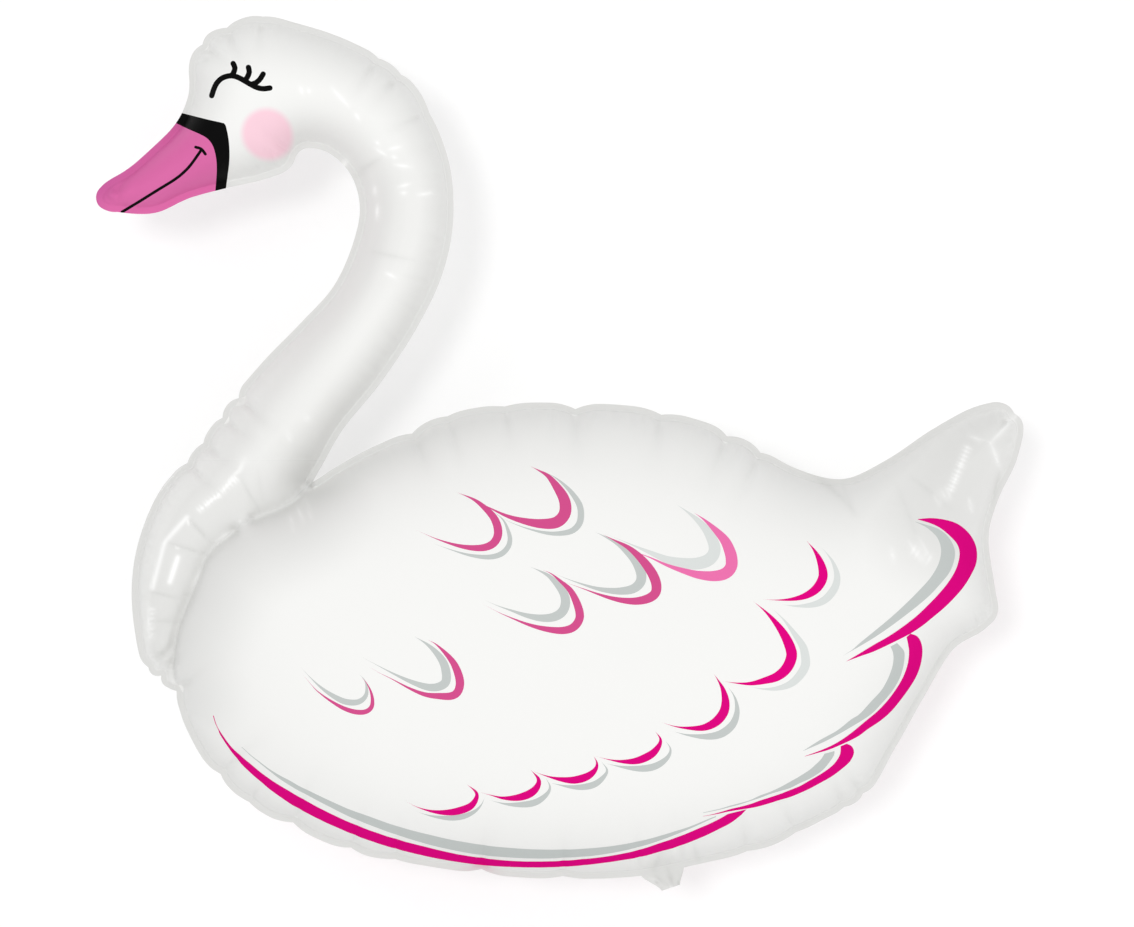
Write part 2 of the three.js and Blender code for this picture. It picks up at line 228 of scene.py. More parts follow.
def smoothstep(low, high, value):
    """From 0 at the low value to 1 at the high one, with a gentle start and end."""
    t = np.clip((value - low) / (high - low), 0, 1)
    return t * t * (3 - 2 * t)


# Outline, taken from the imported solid.
def wall_ring(node):
    """Outer edge of the seam, counter-clockwise, and the height of the seam's middle."""
    mesh = node.data
    co = np.empty(len(mesh.vertices) * 3)
    mesh.vertices.foreach_get("co", co)
    co = co.reshape(-1, 3)
    mesh.calc_loop_triangles()
    corners = np.empty(len(mesh.loop_triangles) * 3, np.int32)
    mesh.loop_triangles.foreach_get("vertices", corners)
    faces = co[corners].reshape(-1, 3, 3)
    normal = np.cross(faces[:, 1] - faces[:, 0], faces[:, 2] - faces[:, 0])
    normal /= np.linalg.norm(normal, axis=1)[:, None] + TINY
    wall = faces[np.abs(normal[:, 2]) < UPRIGHT]
    middle = float((wall[:, :, 2].max() + wall[:, :, 2].min()) / 2)
    beside = {}
    for face in wall:
        top = [tuple(np.round(corner[:2], ROUND_DIGITS)) for corner in face if corner[2] > middle]
        if len(top) == 2:
            beside.setdefault(top[0], []).append(top[1])
            beside.setdefault(top[1], []).append(top[0])
    ring = [next(iter(beside))]
    ring.append(beside[ring[0]][0])
    while True:
        onward = [place for place in beside[ring[-1]] if place != ring[-2]]
        if onward[0] == ring[0]:
            break
        ring.append(onward[0])
    return counter_clockwise(np.array(ring)), middle


def turns(ring):
    """How far a closed line turns to the left at each of its points."""
    onward = np.roll(ring, -1, 0) - ring
    heading = np.arctan2(onward[:, 1], onward[:, 0])
    return (heading - np.roll(heading, 1) + np.pi) % (2 * np.pi) - np.pi


def find_corners(ring):
    """Which points of the ring are cusps of puckers or corners of the fill tail."""
    turn = turns(ring)
    beside = (np.roll(turn, 1) + np.roll(turn, -1)) / 2
    cusp = (turn - beside < -CUSP_TURN) & (beside > -BEND_TURN)
    return cusp, cusp | (np.abs(turn) > CORNER_TURN)


def refine(ring, corner, step):
    """Closed line with round lobes between its corners, and the numbers of the old points in it."""
    count = len(ring)
    chord = np.roll(ring, -1, 0) - ring
    length = np.linalg.norm(chord, axis=1)
    back = np.roll(chord, 1, 0)
    back_length = np.roll(length, 1)
    slope = (chord / length[:, None] + back / back_length[:, None]) / 2
    slope /= np.linalg.norm(slope, axis=1)[:, None]
    line = []
    kept = []
    for i in range(count):
        j = (i + 1) % count
        start = slope[i] * length[i]
        end = slope[j] * length[i]
        if corner[i] and corner[j]:
            start = end = chord[i]
        elif corner[i]:
            start = 2 * chord[i] - end
        elif corner[j]:
            end = 2 * chord[i] - start
        kept.append(len(line))
        pieces = max(1, round(length[i] / step))
        for k in range(pieces):
            line.append(curve_between(ring[i], start, ring[j], end, k / pieces))
    return np.array(line), np.array(kept)


def without_fill_tail(line):
    """The seam's line with the fill tail left out and a smooth bend in its place."""
    place = np.array(on_film([FILL_TAIL_PLACE])[0])
    turn = turns(line)
    near = np.linalg.norm(line - place, axis=1) < FILL_TAIL_REACH
    roots = np.flatnonzero(near & (turn < -CORNER_TURN))
    first, last = roots[0], roots[-1]
    apart = np.linalg.norm(line[last] - line[first])
    steps = round(apart / RING_STEP)
    before = line[first] - line[first - BESIDE]
    after = line[last + BESIDE] - line[last]
    before *= apart / np.linalg.norm(before)
    after *= apart / np.linalg.norm(after)
    bridge = [curve_between(line[first], before, line[last], after, k / steps) for k in range(1, steps)]
    return np.vstack([line[:first + 1], bridge, line[last:]])


# Distances on the film.
def is_inside(points, ring):
    """Which points lie inside a closed ring."""
    inside = np.zeros(len(points), bool)
    x, y = points.T
    onward = np.roll(ring, -1, 0)
    for (x0, y0), (x1, y1) in zip(ring, onward):
        if y0 != y1:
            spans = (y0 > y) != (y1 > y)
            inside ^= spans & (x < x0 + (x1 - x0) * (y - y0) / (y1 - y0))
    return inside


def nearest_on(points, line, closed):
    """Distance from each point to a line, and the number of the line's nearest point."""
    tree = tree_of(line)
    nearest = np.array([tree.find((x, y, 0))[1] for x, y in points], int)
    best = np.full(len(points), np.inf)
    for shift in (-2, -1, 0, 1):
        start = nearest + shift
        if closed:
            a = line[start % len(line)]
            b = line[(start + 1) % len(line)]
        else:
            start = np.clip(start, 0, len(line) - 2)
            a = line[start]
            b = line[start + 1]
        chord = b - a
        share = np.clip(np.sum((points - a) * chord, 1) / np.maximum(np.sum(chord**2, 1), TINY), 0, 1)
        best = np.minimum(best, np.linalg.norm(points - a - share[:, None] * chord, axis=1))
    return best, nearest


def away_from_box(points, line):
    """Distance from each point to the box round a line. It is 0 inside the box."""
    middle = (line.min(0) + line.max(0)) / 2
    return np.linalg.norm(np.maximum(np.abs(points - middle) - (line.max(0) - middle), 0), axis=1)


def clearance(points):
    """How far each point lies inside the seam's seal. It is negative on the seal and outside."""
    away, _ = nearest_on(points, SEAM, True)
    return np.where(is_inside(points, SEAM), away, -away) - SEAM_WIDTH


def clearance_with_welds(points):
    """How far each point lies inside the seam's seal or from a weld, whichever is less."""
    clear = clearance(points)
    for weld in WELDS:
        near = away_from_box(points, weld) < clear
        away, _ = nearest_on(points[near], weld, False)
        clear[near] = np.minimum(clear[near], away)
    return clear


# Swell of the film under the gas.
def closing_height(closing, share):
    """How high the films close over a weld at a share of its length."""
    return np.interp(share, np.linspace(0, 1, len(closing)), closing)


def solve_swell():
    """Load of a membrane held at its seals, on a square grid: its square root is a round swell."""
    low = SEAM.min(0) - CELL
    columns, rows = np.ceil((SEAM.max(0) - low) / CELL).astype(int) + MARGIN_CELLS
    x, y = np.meshgrid(low[0] + CELL * np.arange(columns), low[1] + CELL * np.arange(rows))
    gap = clearance(np.stack([x.ravel(), y.ravel()], 1)).reshape(rows, columns)
    held = gap > 0
    safe = np.where(held, gap, 1)
    weight = np.zeros_like(gap)
    for shift, axis in ((1, 0), (-1, 0), (1, 1), (-1, 1)):
        other = np.roll(gap, shift, axis)
        weight += np.where(other > 0, 1, 1 - other / safe)
    load = np.zeros_like(gap)
    for weld, closing in zip(WELDS, (UPPER_CLOSING, LOWER_CLOSING)):
        height = closing_height(closing, np.linspace(0, 1, len(weld)))
        column, row = np.round((weld - low) / CELL).astype(int).T
        load[row, column] = height**2
        held[row, column] = False
    load[gap <= 0] = 0
    pull = 2 / (1 + math.sin(math.pi / max(columns, rows)))
    checker = (np.add.outer(np.arange(rows), np.arange(columns)) % 2).astype(bool)
    shares = [np.where(held & checker, pull, 0), np.where(held & ~checker, pull, 0)]
    for _ in range(SWELL_ROUNDS):
        for share in shares:
            total = np.full_like(load, 2 * CELL * CELL)
            total[1:] += load[:-1]
            total[:-1] += load[1:]
            total[:, 1:] += load[:, :-1]
            total[:, :-1] += load[:, 1:]
            load += share * (total / weight - load)
    return low, gap, load


def half_depth(points, clear):
    """Height of the film over the seam's middle plane, before any fold."""
    low, gap, load = SWELL
    at = (points - low) / CELL
    column, row = np.floor(at).astype(int).T
    u, v = (at - np.floor(at)).T
    steepness = np.zeros(len(points))
    weight = np.zeros(len(points))
    level = np.zeros(len(points))
    for right, up in ((0, 0), (1, 0), (0, 1), (1, 1)):
        share = np.abs(1 - right - u) * np.abs(1 - up - v)
        c = np.clip(column + right, 0, gap.shape[1] - 1)
        r = np.clip(row + up, 0, gap.shape[0] - 1)
        level += load[r, c] * share
        within = gap[r, c] > 0
        steepness += np.where(within, load[r, c] / np.where(within, gap[r, c], 1) * share, 0)
        weight += np.where(within, share, 0)
    near = np.where(weight > 0, steepness / np.where(weight > 0, weight, 1) * clear, level)
    far = np.clip(clear / (RIM_CELLS * CELL), 0, 1)
    height = np.sqrt(np.maximum(near + (level - near) * far, 0))
    peak = math.sqrt(load.max())
    slimming = 1 - HALF_DEPTH / peak
    inside = np.maximum(clear, 0)
    foot = np.sqrt(inside / (inside + FOOT * np.exp(-inside / FOOT_FADE)))
    return np.where(clear > 0, foot * height * (1 - slimming * (height / peak)**2), 0)


ring, MIDDLE = wall_ring(BALLOON)
HALF_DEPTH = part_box(BALLOON.name)[1].z - MIDDLE
cusps, corners = find_corners(ring)
RING, kept = refine(ring, corners, RING_STEP)
CUSPS = kept[cusps]
SEAM = without_fill_tail(RING)
WELDS = [smooth(on_film(weld), STROKE_STEP) for weld in (UPPER_WELD, LOWER_WELD)]
SWELL = solve_swell()


# Print: the ink of each stroke, its greatest width, the share of its length where that is, and its line.
FEATHERS = [
    ("rose", 8.5, 0.6, [(414, 529), (437, 539), (460, 546), (479, 548), (491, 545), (497, 538),
        (498, 529), (494, 518), (485, 508), (473, 499), (456, 492)]),
    ("grey", 5.5, 0.6, [(429, 542), (455, 551), (472, 555.5), (489, 557), (501, 554), (508, 547),
        (510, 539), (508, 530), (504, 521), (497, 514), (492, 512)]),
    ("rose", 12, 0.65, [(456, 492), (472, 499), (489, 507.5), (506, 515.5), (522, 520.5), (539, 523.5),
        (554, 523), (562, 518), (565.5, 510), (564, 499), (557, 487), (548, 476), (538, 470),
        (530, 466)]),
    ("grey", 6.5, 0.62, [(493, 513), (509, 521.5), (526, 528), (544, 532.5), (558, 533.5), (571.5, 531),
        (579, 524), (581, 515), (579.5, 505), (573.5, 495), (565.5, 486), (556, 478), (545, 472)]),
    ("rose", 8.5, 0.62, [(480, 602), (496, 611), (513, 618.5), (530, 625), (546, 629), (562, 630.5),
        (573, 627.5), (579, 620), (579.5, 612), (576, 601), (570, 590), (561, 581.5), (551, 573.5),
        (541.5, 569.5)]),
    ("grey", 9.5, 0.6, [(481, 598), (496, 605), (513, 611), (527, 615.5), (541.5, 618), (553.5, 617),
        (562, 612), (565.5, 603.5), (564, 594), (558, 585), (549, 576), (539, 570.5), (529.5, 566.5)]),
    ("rose", 10, 0.6, [(560, 580), (573, 585), (585.5, 589.5), (598, 594), (611, 598), (624, 600.5),
        (636.5, 601), (648, 598.5), (655, 593.5), (656.5, 586), (654, 577), (648, 567), (639, 556.5),
        (627.5, 547), (611, 538.5), (602, 534)]),
    ("grey", 10, 0.62, [(547, 571), (560, 576), (576, 582), (595, 588), (609, 590.5), (621, 591),
        (632.5, 589), (639.5, 583.5), (641.5, 576.5), (639.5, 568), (634.5, 559), (626, 550),
        (615.5, 542), (594.5, 531.5)]),
    ("pale rose", 12, 0.66, [(611, 539), (629, 549.5), (649, 557), (668, 565.5), (687.5, 572), (700, 575),
        (714, 576), (725, 573.5), (731, 567), (731.5, 558), (729, 549), (724.5, 540), (715.5, 530),
        (704, 519.5), (693, 512)]),
    ("pale grey", 12.5, 0.6, [(604.5, 533), (629, 543.5), (649, 552), (668.5, 560), (687.5, 563.5),
        (700, 563), (709, 559.5), (714, 553), (714, 544.5), (708, 532), (699, 521.5), (687.5, 512),
        (676, 504)]),
    ("rose", 5, 0.62, [(300, 671), (310, 683), (318, 691.5), (331, 701), (344.5, 708.5), (356.5, 712),
        (366, 711.5), (371.5, 707), (372.5, 699.5), (370.5, 690.5), (366, 682), (361, 677)]),
    ("grey", 6, 0.6, [(299, 665), (309, 676), (320, 686.5), (331, 694.5), (343.5, 701), (354.5, 702.5),
        (362, 700), (366.5, 694), (366.5, 685.5), (364, 679), (359, 674)]),
    ("rose", 8.5, 0.66, [(361, 662), (377, 671.5), (392, 679), (411, 689), (425.5, 694.5), (438.5, 696),
        (451, 696), (457.5, 692), (460, 684), (458.5, 674.5), (453.5, 663), (445, 652.5), (435, 643.5),
        (427, 639.5)]),
    ("grey", 9, 0.66, [(353, 652), (369.5, 661), (384.5, 669), (400.5, 677), (414.5, 683), (427.5, 687),
        (437.5, 687), (445, 683), (446.5, 675.5), (444, 664), (437.5, 654), (427.5, 644.5), (414, 636)]),
    ("magenta", 7.5, 0.62, [(404, 800), (416, 806.5), (430.5, 811), (445, 812.5), (458, 811),
        (470, 806.5), (476, 799), (476, 792), (466.5, 784)]),
    ("grey", 5.5, 0.55, [(416, 811.5), (431.5, 816), (448.5, 818), (463, 816.5), (474.5, 811.5),
        (481.5, 804.5), (485, 796.5)]),
    ("magenta", 8, 0.62, [(477.5, 791.5), (490.5, 795), (503.5, 798), (518, 797.5), (530, 793.5),
        (537, 787), (538.5, 779), (530.5, 769.5)]),
    ("grey", 6.5, 0.55, [(489, 800), (506, 804), (523, 804.5), (536, 802), (546, 795), (550, 787),
        (545.5, 777)]),
    ("magenta", 8, 0.62, [(530.5, 770), (545, 775.5), (559.5, 779), (574, 780), (587, 776.5), (595, 770),
        (597, 763), (593.5, 755.5)]),
    ("grey", 6.5, 0.55, [(549, 782.5), (568, 786.5), (582.5, 787), (595, 784), (604, 776.5), (607, 769.5),
        (601, 761)]),
    ("magenta", 8, 0.62, [(593.5, 755.5), (609, 759.5), (623, 761.5), (637.5, 760.5), (651, 754.5),
        (658.5, 746.5), (660.5, 739), (655, 731)]),
    ("grey", 7, 0.55, [(604, 763), (623, 767), (641, 768.5), (655.5, 766), (667, 758), (670.5, 749),
        (665, 740)]),
    ("magenta", 9.5, 0.6, [(658.5, 721), (673.5, 726), (688, 728), (703.5, 727.5), (715.5, 722),
        (723.5, 712.5), (725.5, 701.5), (723, 689.5), (718, 680), (713.5, 673.5)]),
    ("grey", 8, 0.52, [(672, 731), (688, 735), (707, 736.5), (721.5, 733.5), (732.5, 724.5), (737, 712.5),
        (736, 701), (732.5, 693), (727.5, 686.5)]),
    ("bright magenta", 11, 0.52, [(722.5, 681), (736, 683), (750.5, 683.5), (765, 680.5), (777, 676.5),
        (786, 669), (791, 659), (791, 650), (785, 636), (776, 623), (765.5, 611.5), (753, 601)]),
    ("pale grey", 9, 0.48, [(750.5, 687), (765, 689), (779, 688), (791, 683.5), (800, 675),
        (805.5, 664.5), (804.5, 652), (802, 645), (795, 634.5), (784.5, 620.5), (772, 608)]),
    ("bright magenta", 9.5, 0.6, [(760.5, 599), (777.5, 600), (793, 599), (806, 595.5), (816, 589),
        (822, 580), (823, 572), (820, 561), (814.5, 550.5), (806.5, 540.5)]),
    ("pale grey", 8, 0.5, [(781.5, 604.5), (797, 606), (813.5, 604.5), (825, 599.5), (833.5, 590),
        (837, 580.5), (836.5, 572), (832.5, 561.5), (826.5, 553), (821, 547)]),
]

# Above 1, a stroke stays thin for longer at both of its ends.
SLENDER = 1.6

# Broad strokes, each between an outer and an inner edge.
BROAD_FEATHERS = [
    ("magenta",
     [(917.5, 519), (931, 518), (944.5, 519.5), (957, 523.5), (967, 531), (974, 541), (977, 552),
      (976, 564), (970.5, 576), (963.5, 587), (955, 597), (944.5, 607.5), (932, 618), (922, 626),
      (910.5, 633.5), (896, 641), (875, 651), (861, 656), (846, 661.5)],
     [(918, 519.5), (931, 523.5), (941, 528.5), (950.5, 536.5), (957, 544), (959.5, 552), (958.5, 561),
      (955, 571), (948, 582.5), (939, 593.5), (929, 604), (917, 615.5), (903, 626.5), (889, 636),
      (875, 644), (861, 652.5), (846, 661.5)]),
    ("grey",
     [(915, 521.5), (927, 525), (937.5, 528.5), (946, 534.5), (952, 542.5), (955, 552), (953.5, 562.5),
      (949, 573), (941, 583), (930.5, 594.5), (918.5, 605), (904.5, 616), (889, 627.5), (875, 637),
      (861, 645.5), (842.5, 656)],
     [(915.5, 522), (924, 526), (930.5, 530.5), (937.5, 538), (941, 548.5), (940, 559), (936, 569),
      (929, 579.5), (918.5, 591), (906.5, 603), (892.5, 616), (877, 629), (861, 642), (852.5, 649.5),
      (842.5, 656)]),
    ("magenta",
     [(910.5, 633.5), (917, 636), (921, 642), (922.5, 651), (921, 663), (917, 675), (910, 687),
      (901, 699.5), (891, 711.5), (880, 721), (868, 729), (856, 737.5), (832, 748.5), (817.5, 753),
      (804.5, 756.5)],
     [(906.5, 637), (908, 644), (909, 652.5), (907.5, 664.5), (903, 677), (896, 689), (887, 701),
      (877, 711.5), (865.5, 721), (851, 733), (837, 742.5), (822.5, 749.5), (805, 756)]),
    ("grey",
     [(897, 643), (899.5, 645.5), (904, 651), (904.5, 658), (903, 668), (899.5, 678.5), (892.5, 690.5),
      (882, 703), (870, 715), (851, 727), (837, 735), (822.5, 742.5), (803, 751)],
     [(890.5, 646.5), (893, 652.5), (893.5, 659.5), (892, 668), (888, 678.5), (881.5, 690), (871.5, 701),
      (859.5, 714), (851, 719.5), (837, 730.5), (820, 740), (803.5, 750.5)]),
    ("magenta",
     [(846.6, 743.6), (851.6, 746), (854, 752.2), (850, 761.3), (840, 770.4), (830, 777.5), (820, 783),
      (810, 788.4), (800, 793), (790, 797), (780, 800), (770, 803.1), (760, 806), (750, 808.1),
      (728, 811.6), (720, 813.4), (710, 815.2), (703, 816.3)],
     [(840.7, 746), (840, 754), (836, 761.3), (830, 767.5), (820, 774.4), (810, 780.1), (800, 785.8),
      (790, 789.9), (780, 793.9), (770, 797.2), (760, 800.4), (750, 804), (740, 806.7), (730, 809),
      (720, 812.1), (710, 814.7), (703, 816)]),
    ("grey",
     [(834.5, 751), (834, 755), (830, 761.3), (825, 767.7), (820, 772.2), (810, 778.5), (800, 783),
      (790, 788), (780, 791), (770, 794), (760, 797.8), (750, 801.1), (740, 804.3), (730, 806.9),
      (720, 809.5), (703, 813)],
     [(824.5, 753.6), (823, 756.3), (820, 760.4), (815, 765), (810, 769.5), (800, 776), (790, 781.7),
      (780, 787.2), (770, 791.8), (760, 795.4), (750, 800), (740, 803), (730, 805.6), (720, 808.6),
      (703, 812.5)]),
    ("magenta",
     [(213, 715.4), (215.2, 722.8), (218.5, 730), (220.5, 735), (230, 749.5), (240, 762.2), (250, 772.2),
      (260, 781), (270, 789.4), (280, 796.6), (290, 803.4), (300, 809.2), (320, 819.7), (340, 828.7),
      (360, 837), (380, 844), (400, 849.8), (420, 854.8), (440, 859), (460, 862.3), (480, 864.9),
      (500, 866.4), (520, 867.2), (540, 867.4), (560, 866.8), (580, 865.5), (600, 863.3), (620, 860.5),
      (640, 857), (660, 851.8), (680, 845.8), (700, 838), (710, 833.5), (720, 828.5), (730, 823.3),
      (740, 816), (746.5, 809.3)],
     [(214, 715.6), (216, 722.8), (219.5, 730), (230, 745), (240, 755), (250, 763.2), (260, 771.6),
      (270, 779), (280, 785.4), (290, 791.3), (300, 797.3), (310, 802.7), (320, 808.2), (340, 817.9),
      (360, 826.4), (380, 833.7), (400, 840), (420, 845.3), (440, 850.2), (460, 854.5), (480, 857.4),
      (500, 859.8), (520, 861.1), (540, 861.3), (560, 860.7), (580, 859.2), (600, 857.2), (620, 854),
      (640, 849.5), (660, 843), (680, 836.1), (700, 827.7), (710, 823.4), (720, 818.4), (728, 813.8)]),
    ("grey",
     [(241.7, 747.4), (250, 755), (260, 763.2), (270, 771.3), (280, 779), (290, 785.4), (300, 791.3),
      (310, 796.4), (320, 801.8), (330, 806.9), (350, 816.8), (370, 824.9), (390, 832.4), (410, 838.9),
      (430, 844.8), (450, 849.4), (470, 853.2), (490, 855.8), (510, 857.4), (530, 858.3), (550, 858.3),
      (570, 857.3), (590, 856), (610, 853.2), (630, 849.2), (650, 843.8), (670, 836.8), (690, 828.6),
      (710, 819.5), (716, 816.9)],
     [(241.7, 746.6), (250, 754.1), (260, 761.8), (270, 769.3), (280, 775.4), (290, 780.6), (300, 786.4),
      (310, 791.2), (330, 800.7), (350, 809.5), (370, 816.6), (390, 823.8), (410, 829.8), (430, 834.8),
      (450, 839.4), (470, 842.9), (490, 845.9), (510, 847.8), (530, 849.1), (550, 849.5), (570, 849.3),
      (590, 848.2), (610, 846.2), (630, 843), (650, 838.6), (670, 832.8), (690, 826.4), (710, 818.2),
      (716, 816)]),
]

# Face: the closed eye with its lashes, the mask round the bill, and the mouth.
EYE_WIDTH = 5.5
EYE_LINES = [
    [(211.8, 95.7), (214, 89), (216.7, 83.4), (221.6, 78.5), (228, 76.1), (234.2, 76.1), (240.5, 78.5),
     (245.4, 81.3), (251, 84.5), (256.6, 87.3), (263, 88.7), (270, 88)],
    [(233.2, 63.5), (235, 68), (233.5, 73), (232, 75)],
    [(248.5, 67.3), (249.3, 72.2), (247.5, 77), (245.4, 80)],
    [(263.2, 74), (260, 79.2), (256, 82.7), (252.4, 84)],
]
MASK_OUTER = [
    (172, 110.5), (181, 112.8), (195, 116.3), (209, 119.8), (221.6, 122.6), (225.1, 124.3), (227.2, 131),
    (228.9, 141), (229.6, 152), (229.3, 163), (227.9, 174.4), (226.1, 187.7), (225, 196),
]
MASK_INNER = [
    (168, 118.5), (175.7, 122.9), (188, 128.9), (200.6, 134.5), (207.6, 138.7), (212.5, 145),
    (215.3, 153.4), (216.7, 163), (216.7, 174.4), (215.6, 188.4), (215, 196),
]
BILL_REACH = [(205, 230), (80, 230), (80, 110), (150, 100)]
MOUTH_WIDTH = 2.9
MOUTH_LINES = [
    [(122, 212), (139, 201.7), (157, 190.5), (174, 180), (183, 173), (191, 164.6), (201, 150.6)],
    [(195.7, 147.1), (201.3, 149), (205.5, 154.1)],
]
CHEEK_PLACE = (267, 134)
CHEEK_RADIUS = 0.0248

# The bill's pink darkens with painted shade from its middle across it, over this length.
BILL_MIDDLE = (160, 168)
BILL_ACROSS = (-0.69, 0.72)
BILL_SHADE_REACH = 0.036

# Inks in the order in which one covers another.
INKS = ["black", "bill", "bright magenta", "magenta", "rose", "pale rose", "grey", "pale grey"]


def crescent(points, width, peak):
    """Outline of a stroke that is widest at a share of its length and runs out at both ends."""
    line = smooth(on_film(points), STROKE_STEP)
    _, left = sides_of(line)
    lengths = lengths_along(line)
    share = lengths / lengths[-1]
    half = width * GRID_STEP / 2 * np.sin(np.pi * share**(math.log(0.5) / math.log(peak)))**SLENDER
    return np.vstack([line + left * half[:, None], (line - left * half[:, None])[-2:0:-1]])


def band(outer, inner):
    """Outline of a stroke between two edges."""
    return np.vstack([smooth(on_film(outer), STROKE_STEP), smooth(on_film(inner), STROKE_STEP)[::-1]])


def pen_line(points, width):
    """Outline of a line of even width with round ends."""
    line = smooth(on_film(points), STROKE_STEP)
    along, left = sides_of(line)
    half = width * GRID_STEP / 2
    cap = np.linspace(0, np.pi, CAP_POINTS)[1:-1, None]
    end = line[-1] + half * (left[-1] * np.cos(cap) + along[-1] * np.sin(cap))
    start = line[0] - half * (left[0] * np.cos(cap) + along[0] * np.sin(cap))
    return np.vstack([line + left * half, end, (line - left * half)[::-1], start])


def from_view(places):
    """Where the camera's ray to each place of the middle plane meets the swollen film."""
    eye = np.array(VIEW_PLACE)
    met = places
    for _ in range(VIEW_ROUNDS):
        height = half_depth(met, np.maximum(clearance(met), 0))
        met = eye + (places - eye) * (1 - height / VIEW_DISTANCE)[:, None]
    return met


def print_outlines():
    """Every printed shape as an ink and a closed outline."""
    shapes = [(ink, crescent(points, width, peak)) for ink, width, peak, points in FEATHERS]
    shapes += [(ink, band(outer, inner)) for ink, outer, inner in BROAD_FEATHERS]
    shapes += [("black", pen_line(points, EYE_WIDTH)) for points in EYE_LINES]
    shapes += [("black", pen_line(points, MOUTH_WIDTH)) for points in MOUTH_LINES]
    shapes.append(("black", band(MASK_OUTER, MASK_INNER)))
    bill = np.vstack([smooth(on_film(MASK_INNER), STROKE_STEP), np.array(on_film(BILL_REACH))])
    shapes.append(("bill", bill))
    return [(ink, counter_clockwise(from_view(outline))) for ink, outline in shapes]


# Mesh of a film, seen from the front.
def offset_row(line, inset, closed, step):
    """Points at an inset to the left of a line, with a fan of them round each outward corner."""
    count = len(line)
    chord = np.roll(line, -1, 0) - line
    if not closed:
        chord[-1] = chord[-2]
    chord /= np.linalg.norm(chord, axis=1)[:, None]
    last = np.roll(chord, 1, 0)
    if not closed:
        last[0] = chord[0]
    heading = np.arctan2(chord[:, 1], chord[:, 0])
    back = np.arctan2(last[:, 1], last[:, 0])
    turn = (heading - back + np.pi) % (2 * np.pi) - np.pi
    row = []
    for i in range(count):
        fan = max(1, math.ceil(FAN * -turn[i] * inset / step)) if turn[i] < 0 else 1
        for k in range(fan):
            angle = back[i] + turn[i] * (k + 0.5) / fan + math.pi / 2
            row.append(line[i] + inset * np.array((math.cos(angle), math.sin(angle))))
    return np.array(row)


def lattice(step):
    """Evenly spread points over the whole swan, each row half a step aside from the last."""
    low, high = SEAM.min(0), SEAM.max(0)
    rise = step * math.sqrt(3) / 2
    rows = int((high[1] - low[1]) / rise)
    columns = int((high[0] - low[0]) / step)
    x, y = np.meshgrid(np.arange(columns), np.arange(rows))
    x = low[0] + step * (x + (y % 2) / 2)
    y = low[1] + rise * y
    return np.stack([x.ravel(), y.ravel()], 1)


def far_from(points, others, least):
    """The points that lie at least that far from every one of the others."""
    tree = tree_of(others)
    return points[[tree.find((x, y, 0))[2] > least for x, y in points]]


def tail_lattice():
    """Points spread over the fill tail, clear of its edge."""
    tail = lattice(RING_STEP)
    return far_from(tail[is_inside(tail, RING) & ~is_inside(tail, SEAM)], RING, RING_STEP / 2)


def is_fine(points):
    """Which points lie where the film has small wrinkles."""
    fine = np.zeros(len(points), bool)
    for line in FINE_LINES:
        line = smooth(on_film(line), FILM_STEP)
        near = np.all((points > line.min(0) - FINE_REACH) & (points < line.max(0) + FINE_REACH), axis=1)
        away, _ = nearest_on(points[near], line, False)
        fine[near] |= away < FINE_REACH
    return fine


def film_points(shapes):
    """Points inside the ring: rows along the seals, then a lattice, clear of the print's outlines."""
    rows = []
    for inset in SEAM_ROWS + [SEAM_WIDTH + deep for deep in RIM_ROWS]:
        row = offset_row(RING if inset < SEAM_WIDTH / 2 else SEAM, inset, True, RING_STEP)
        away, _ = nearest_on(row, RING, True)
        row = row[is_inside(row, RING) & (away > ROW_SHARE * min(inset, SEAM_WIDTH))]
        if inset > SEAM_WIDTH:
            row = row[clearance_with_welds(row) > ROW_SHARE * min(inset - SEAM_WIDTH, WELD_ROWS[-1])]
        rows.append(row)
    for weld in WELDS:
        for deep in WELD_ROWS:
            for side in (weld, weld[::-1]):
                row = offset_row(side, deep, False, RING_STEP)
                rows.append(row[clearance_with_welds(row) > ROW_SHARE * deep])
        rows.append(weld[clearance(weld) > 0])
    for step, fine in ((FILM_STEP, False), (FINE_STEP, True)):
        spread = lattice(step)
        spread = spread[(is_fine(spread) == fine) & is_inside(spread, RING)]
        spread = spread[clearance(spread) > LATTICE_CLEARANCE]
        rows.append(spread[clearance_with_welds(spread) > WELD_ROWS[-1] + step / 2])
    points = np.vstack([*rows, tail_lattice()])
    return far_from(points, np.vstack([outline for _, outline in shapes]), STROKE_STEP / 2)


def triangulate(ring, points, shapes):
    """Triangles inside the ring, counter-clockwise, with the number of the ink on each (0 is none)."""
    parts = [ring] + [outline for _, outline in shapes]
    all_points = [tuple(p) for p in np.vstack(parts + [points])]
    faces = []
    start = 0
    for part in parts:
        faces.append(list(range(start, start + len(part))))
        start += len(part)
    made = delaunay_2d_cdt([Vector(p) for p in all_points], [], faces, 1, MERGE, True)
    places = np.array([tuple(p) for p in made[0]])
    order = [0] + [1 + INKS.index(ink) for ink, _ in shapes]
    triangles, inks = [], []
    for corners, within in zip(made[2], made[5]):
        if 0 in within:
            triangles.append(corners)
            inks.append(min((order[k] for k in within if k), default=0))
    triangles = np.array(triangles)
    a, b, c = (places[triangles[:, k]] for k in range(3))
    area = (b[:, 0] - a[:, 0]) * (c[:, 1] - a[:, 1]) - (b[:, 1] - a[:, 1]) * (c[:, 0] - a[:, 0])
    triangles[area < 0] = triangles[area < 0][:, ::-1]
    used = np.unique(triangles)
    renumber = np.full(len(places), -1)
    renumber[used] = np.arange(len(used))
    return places[used], renumber[triangles], np.array(inks)


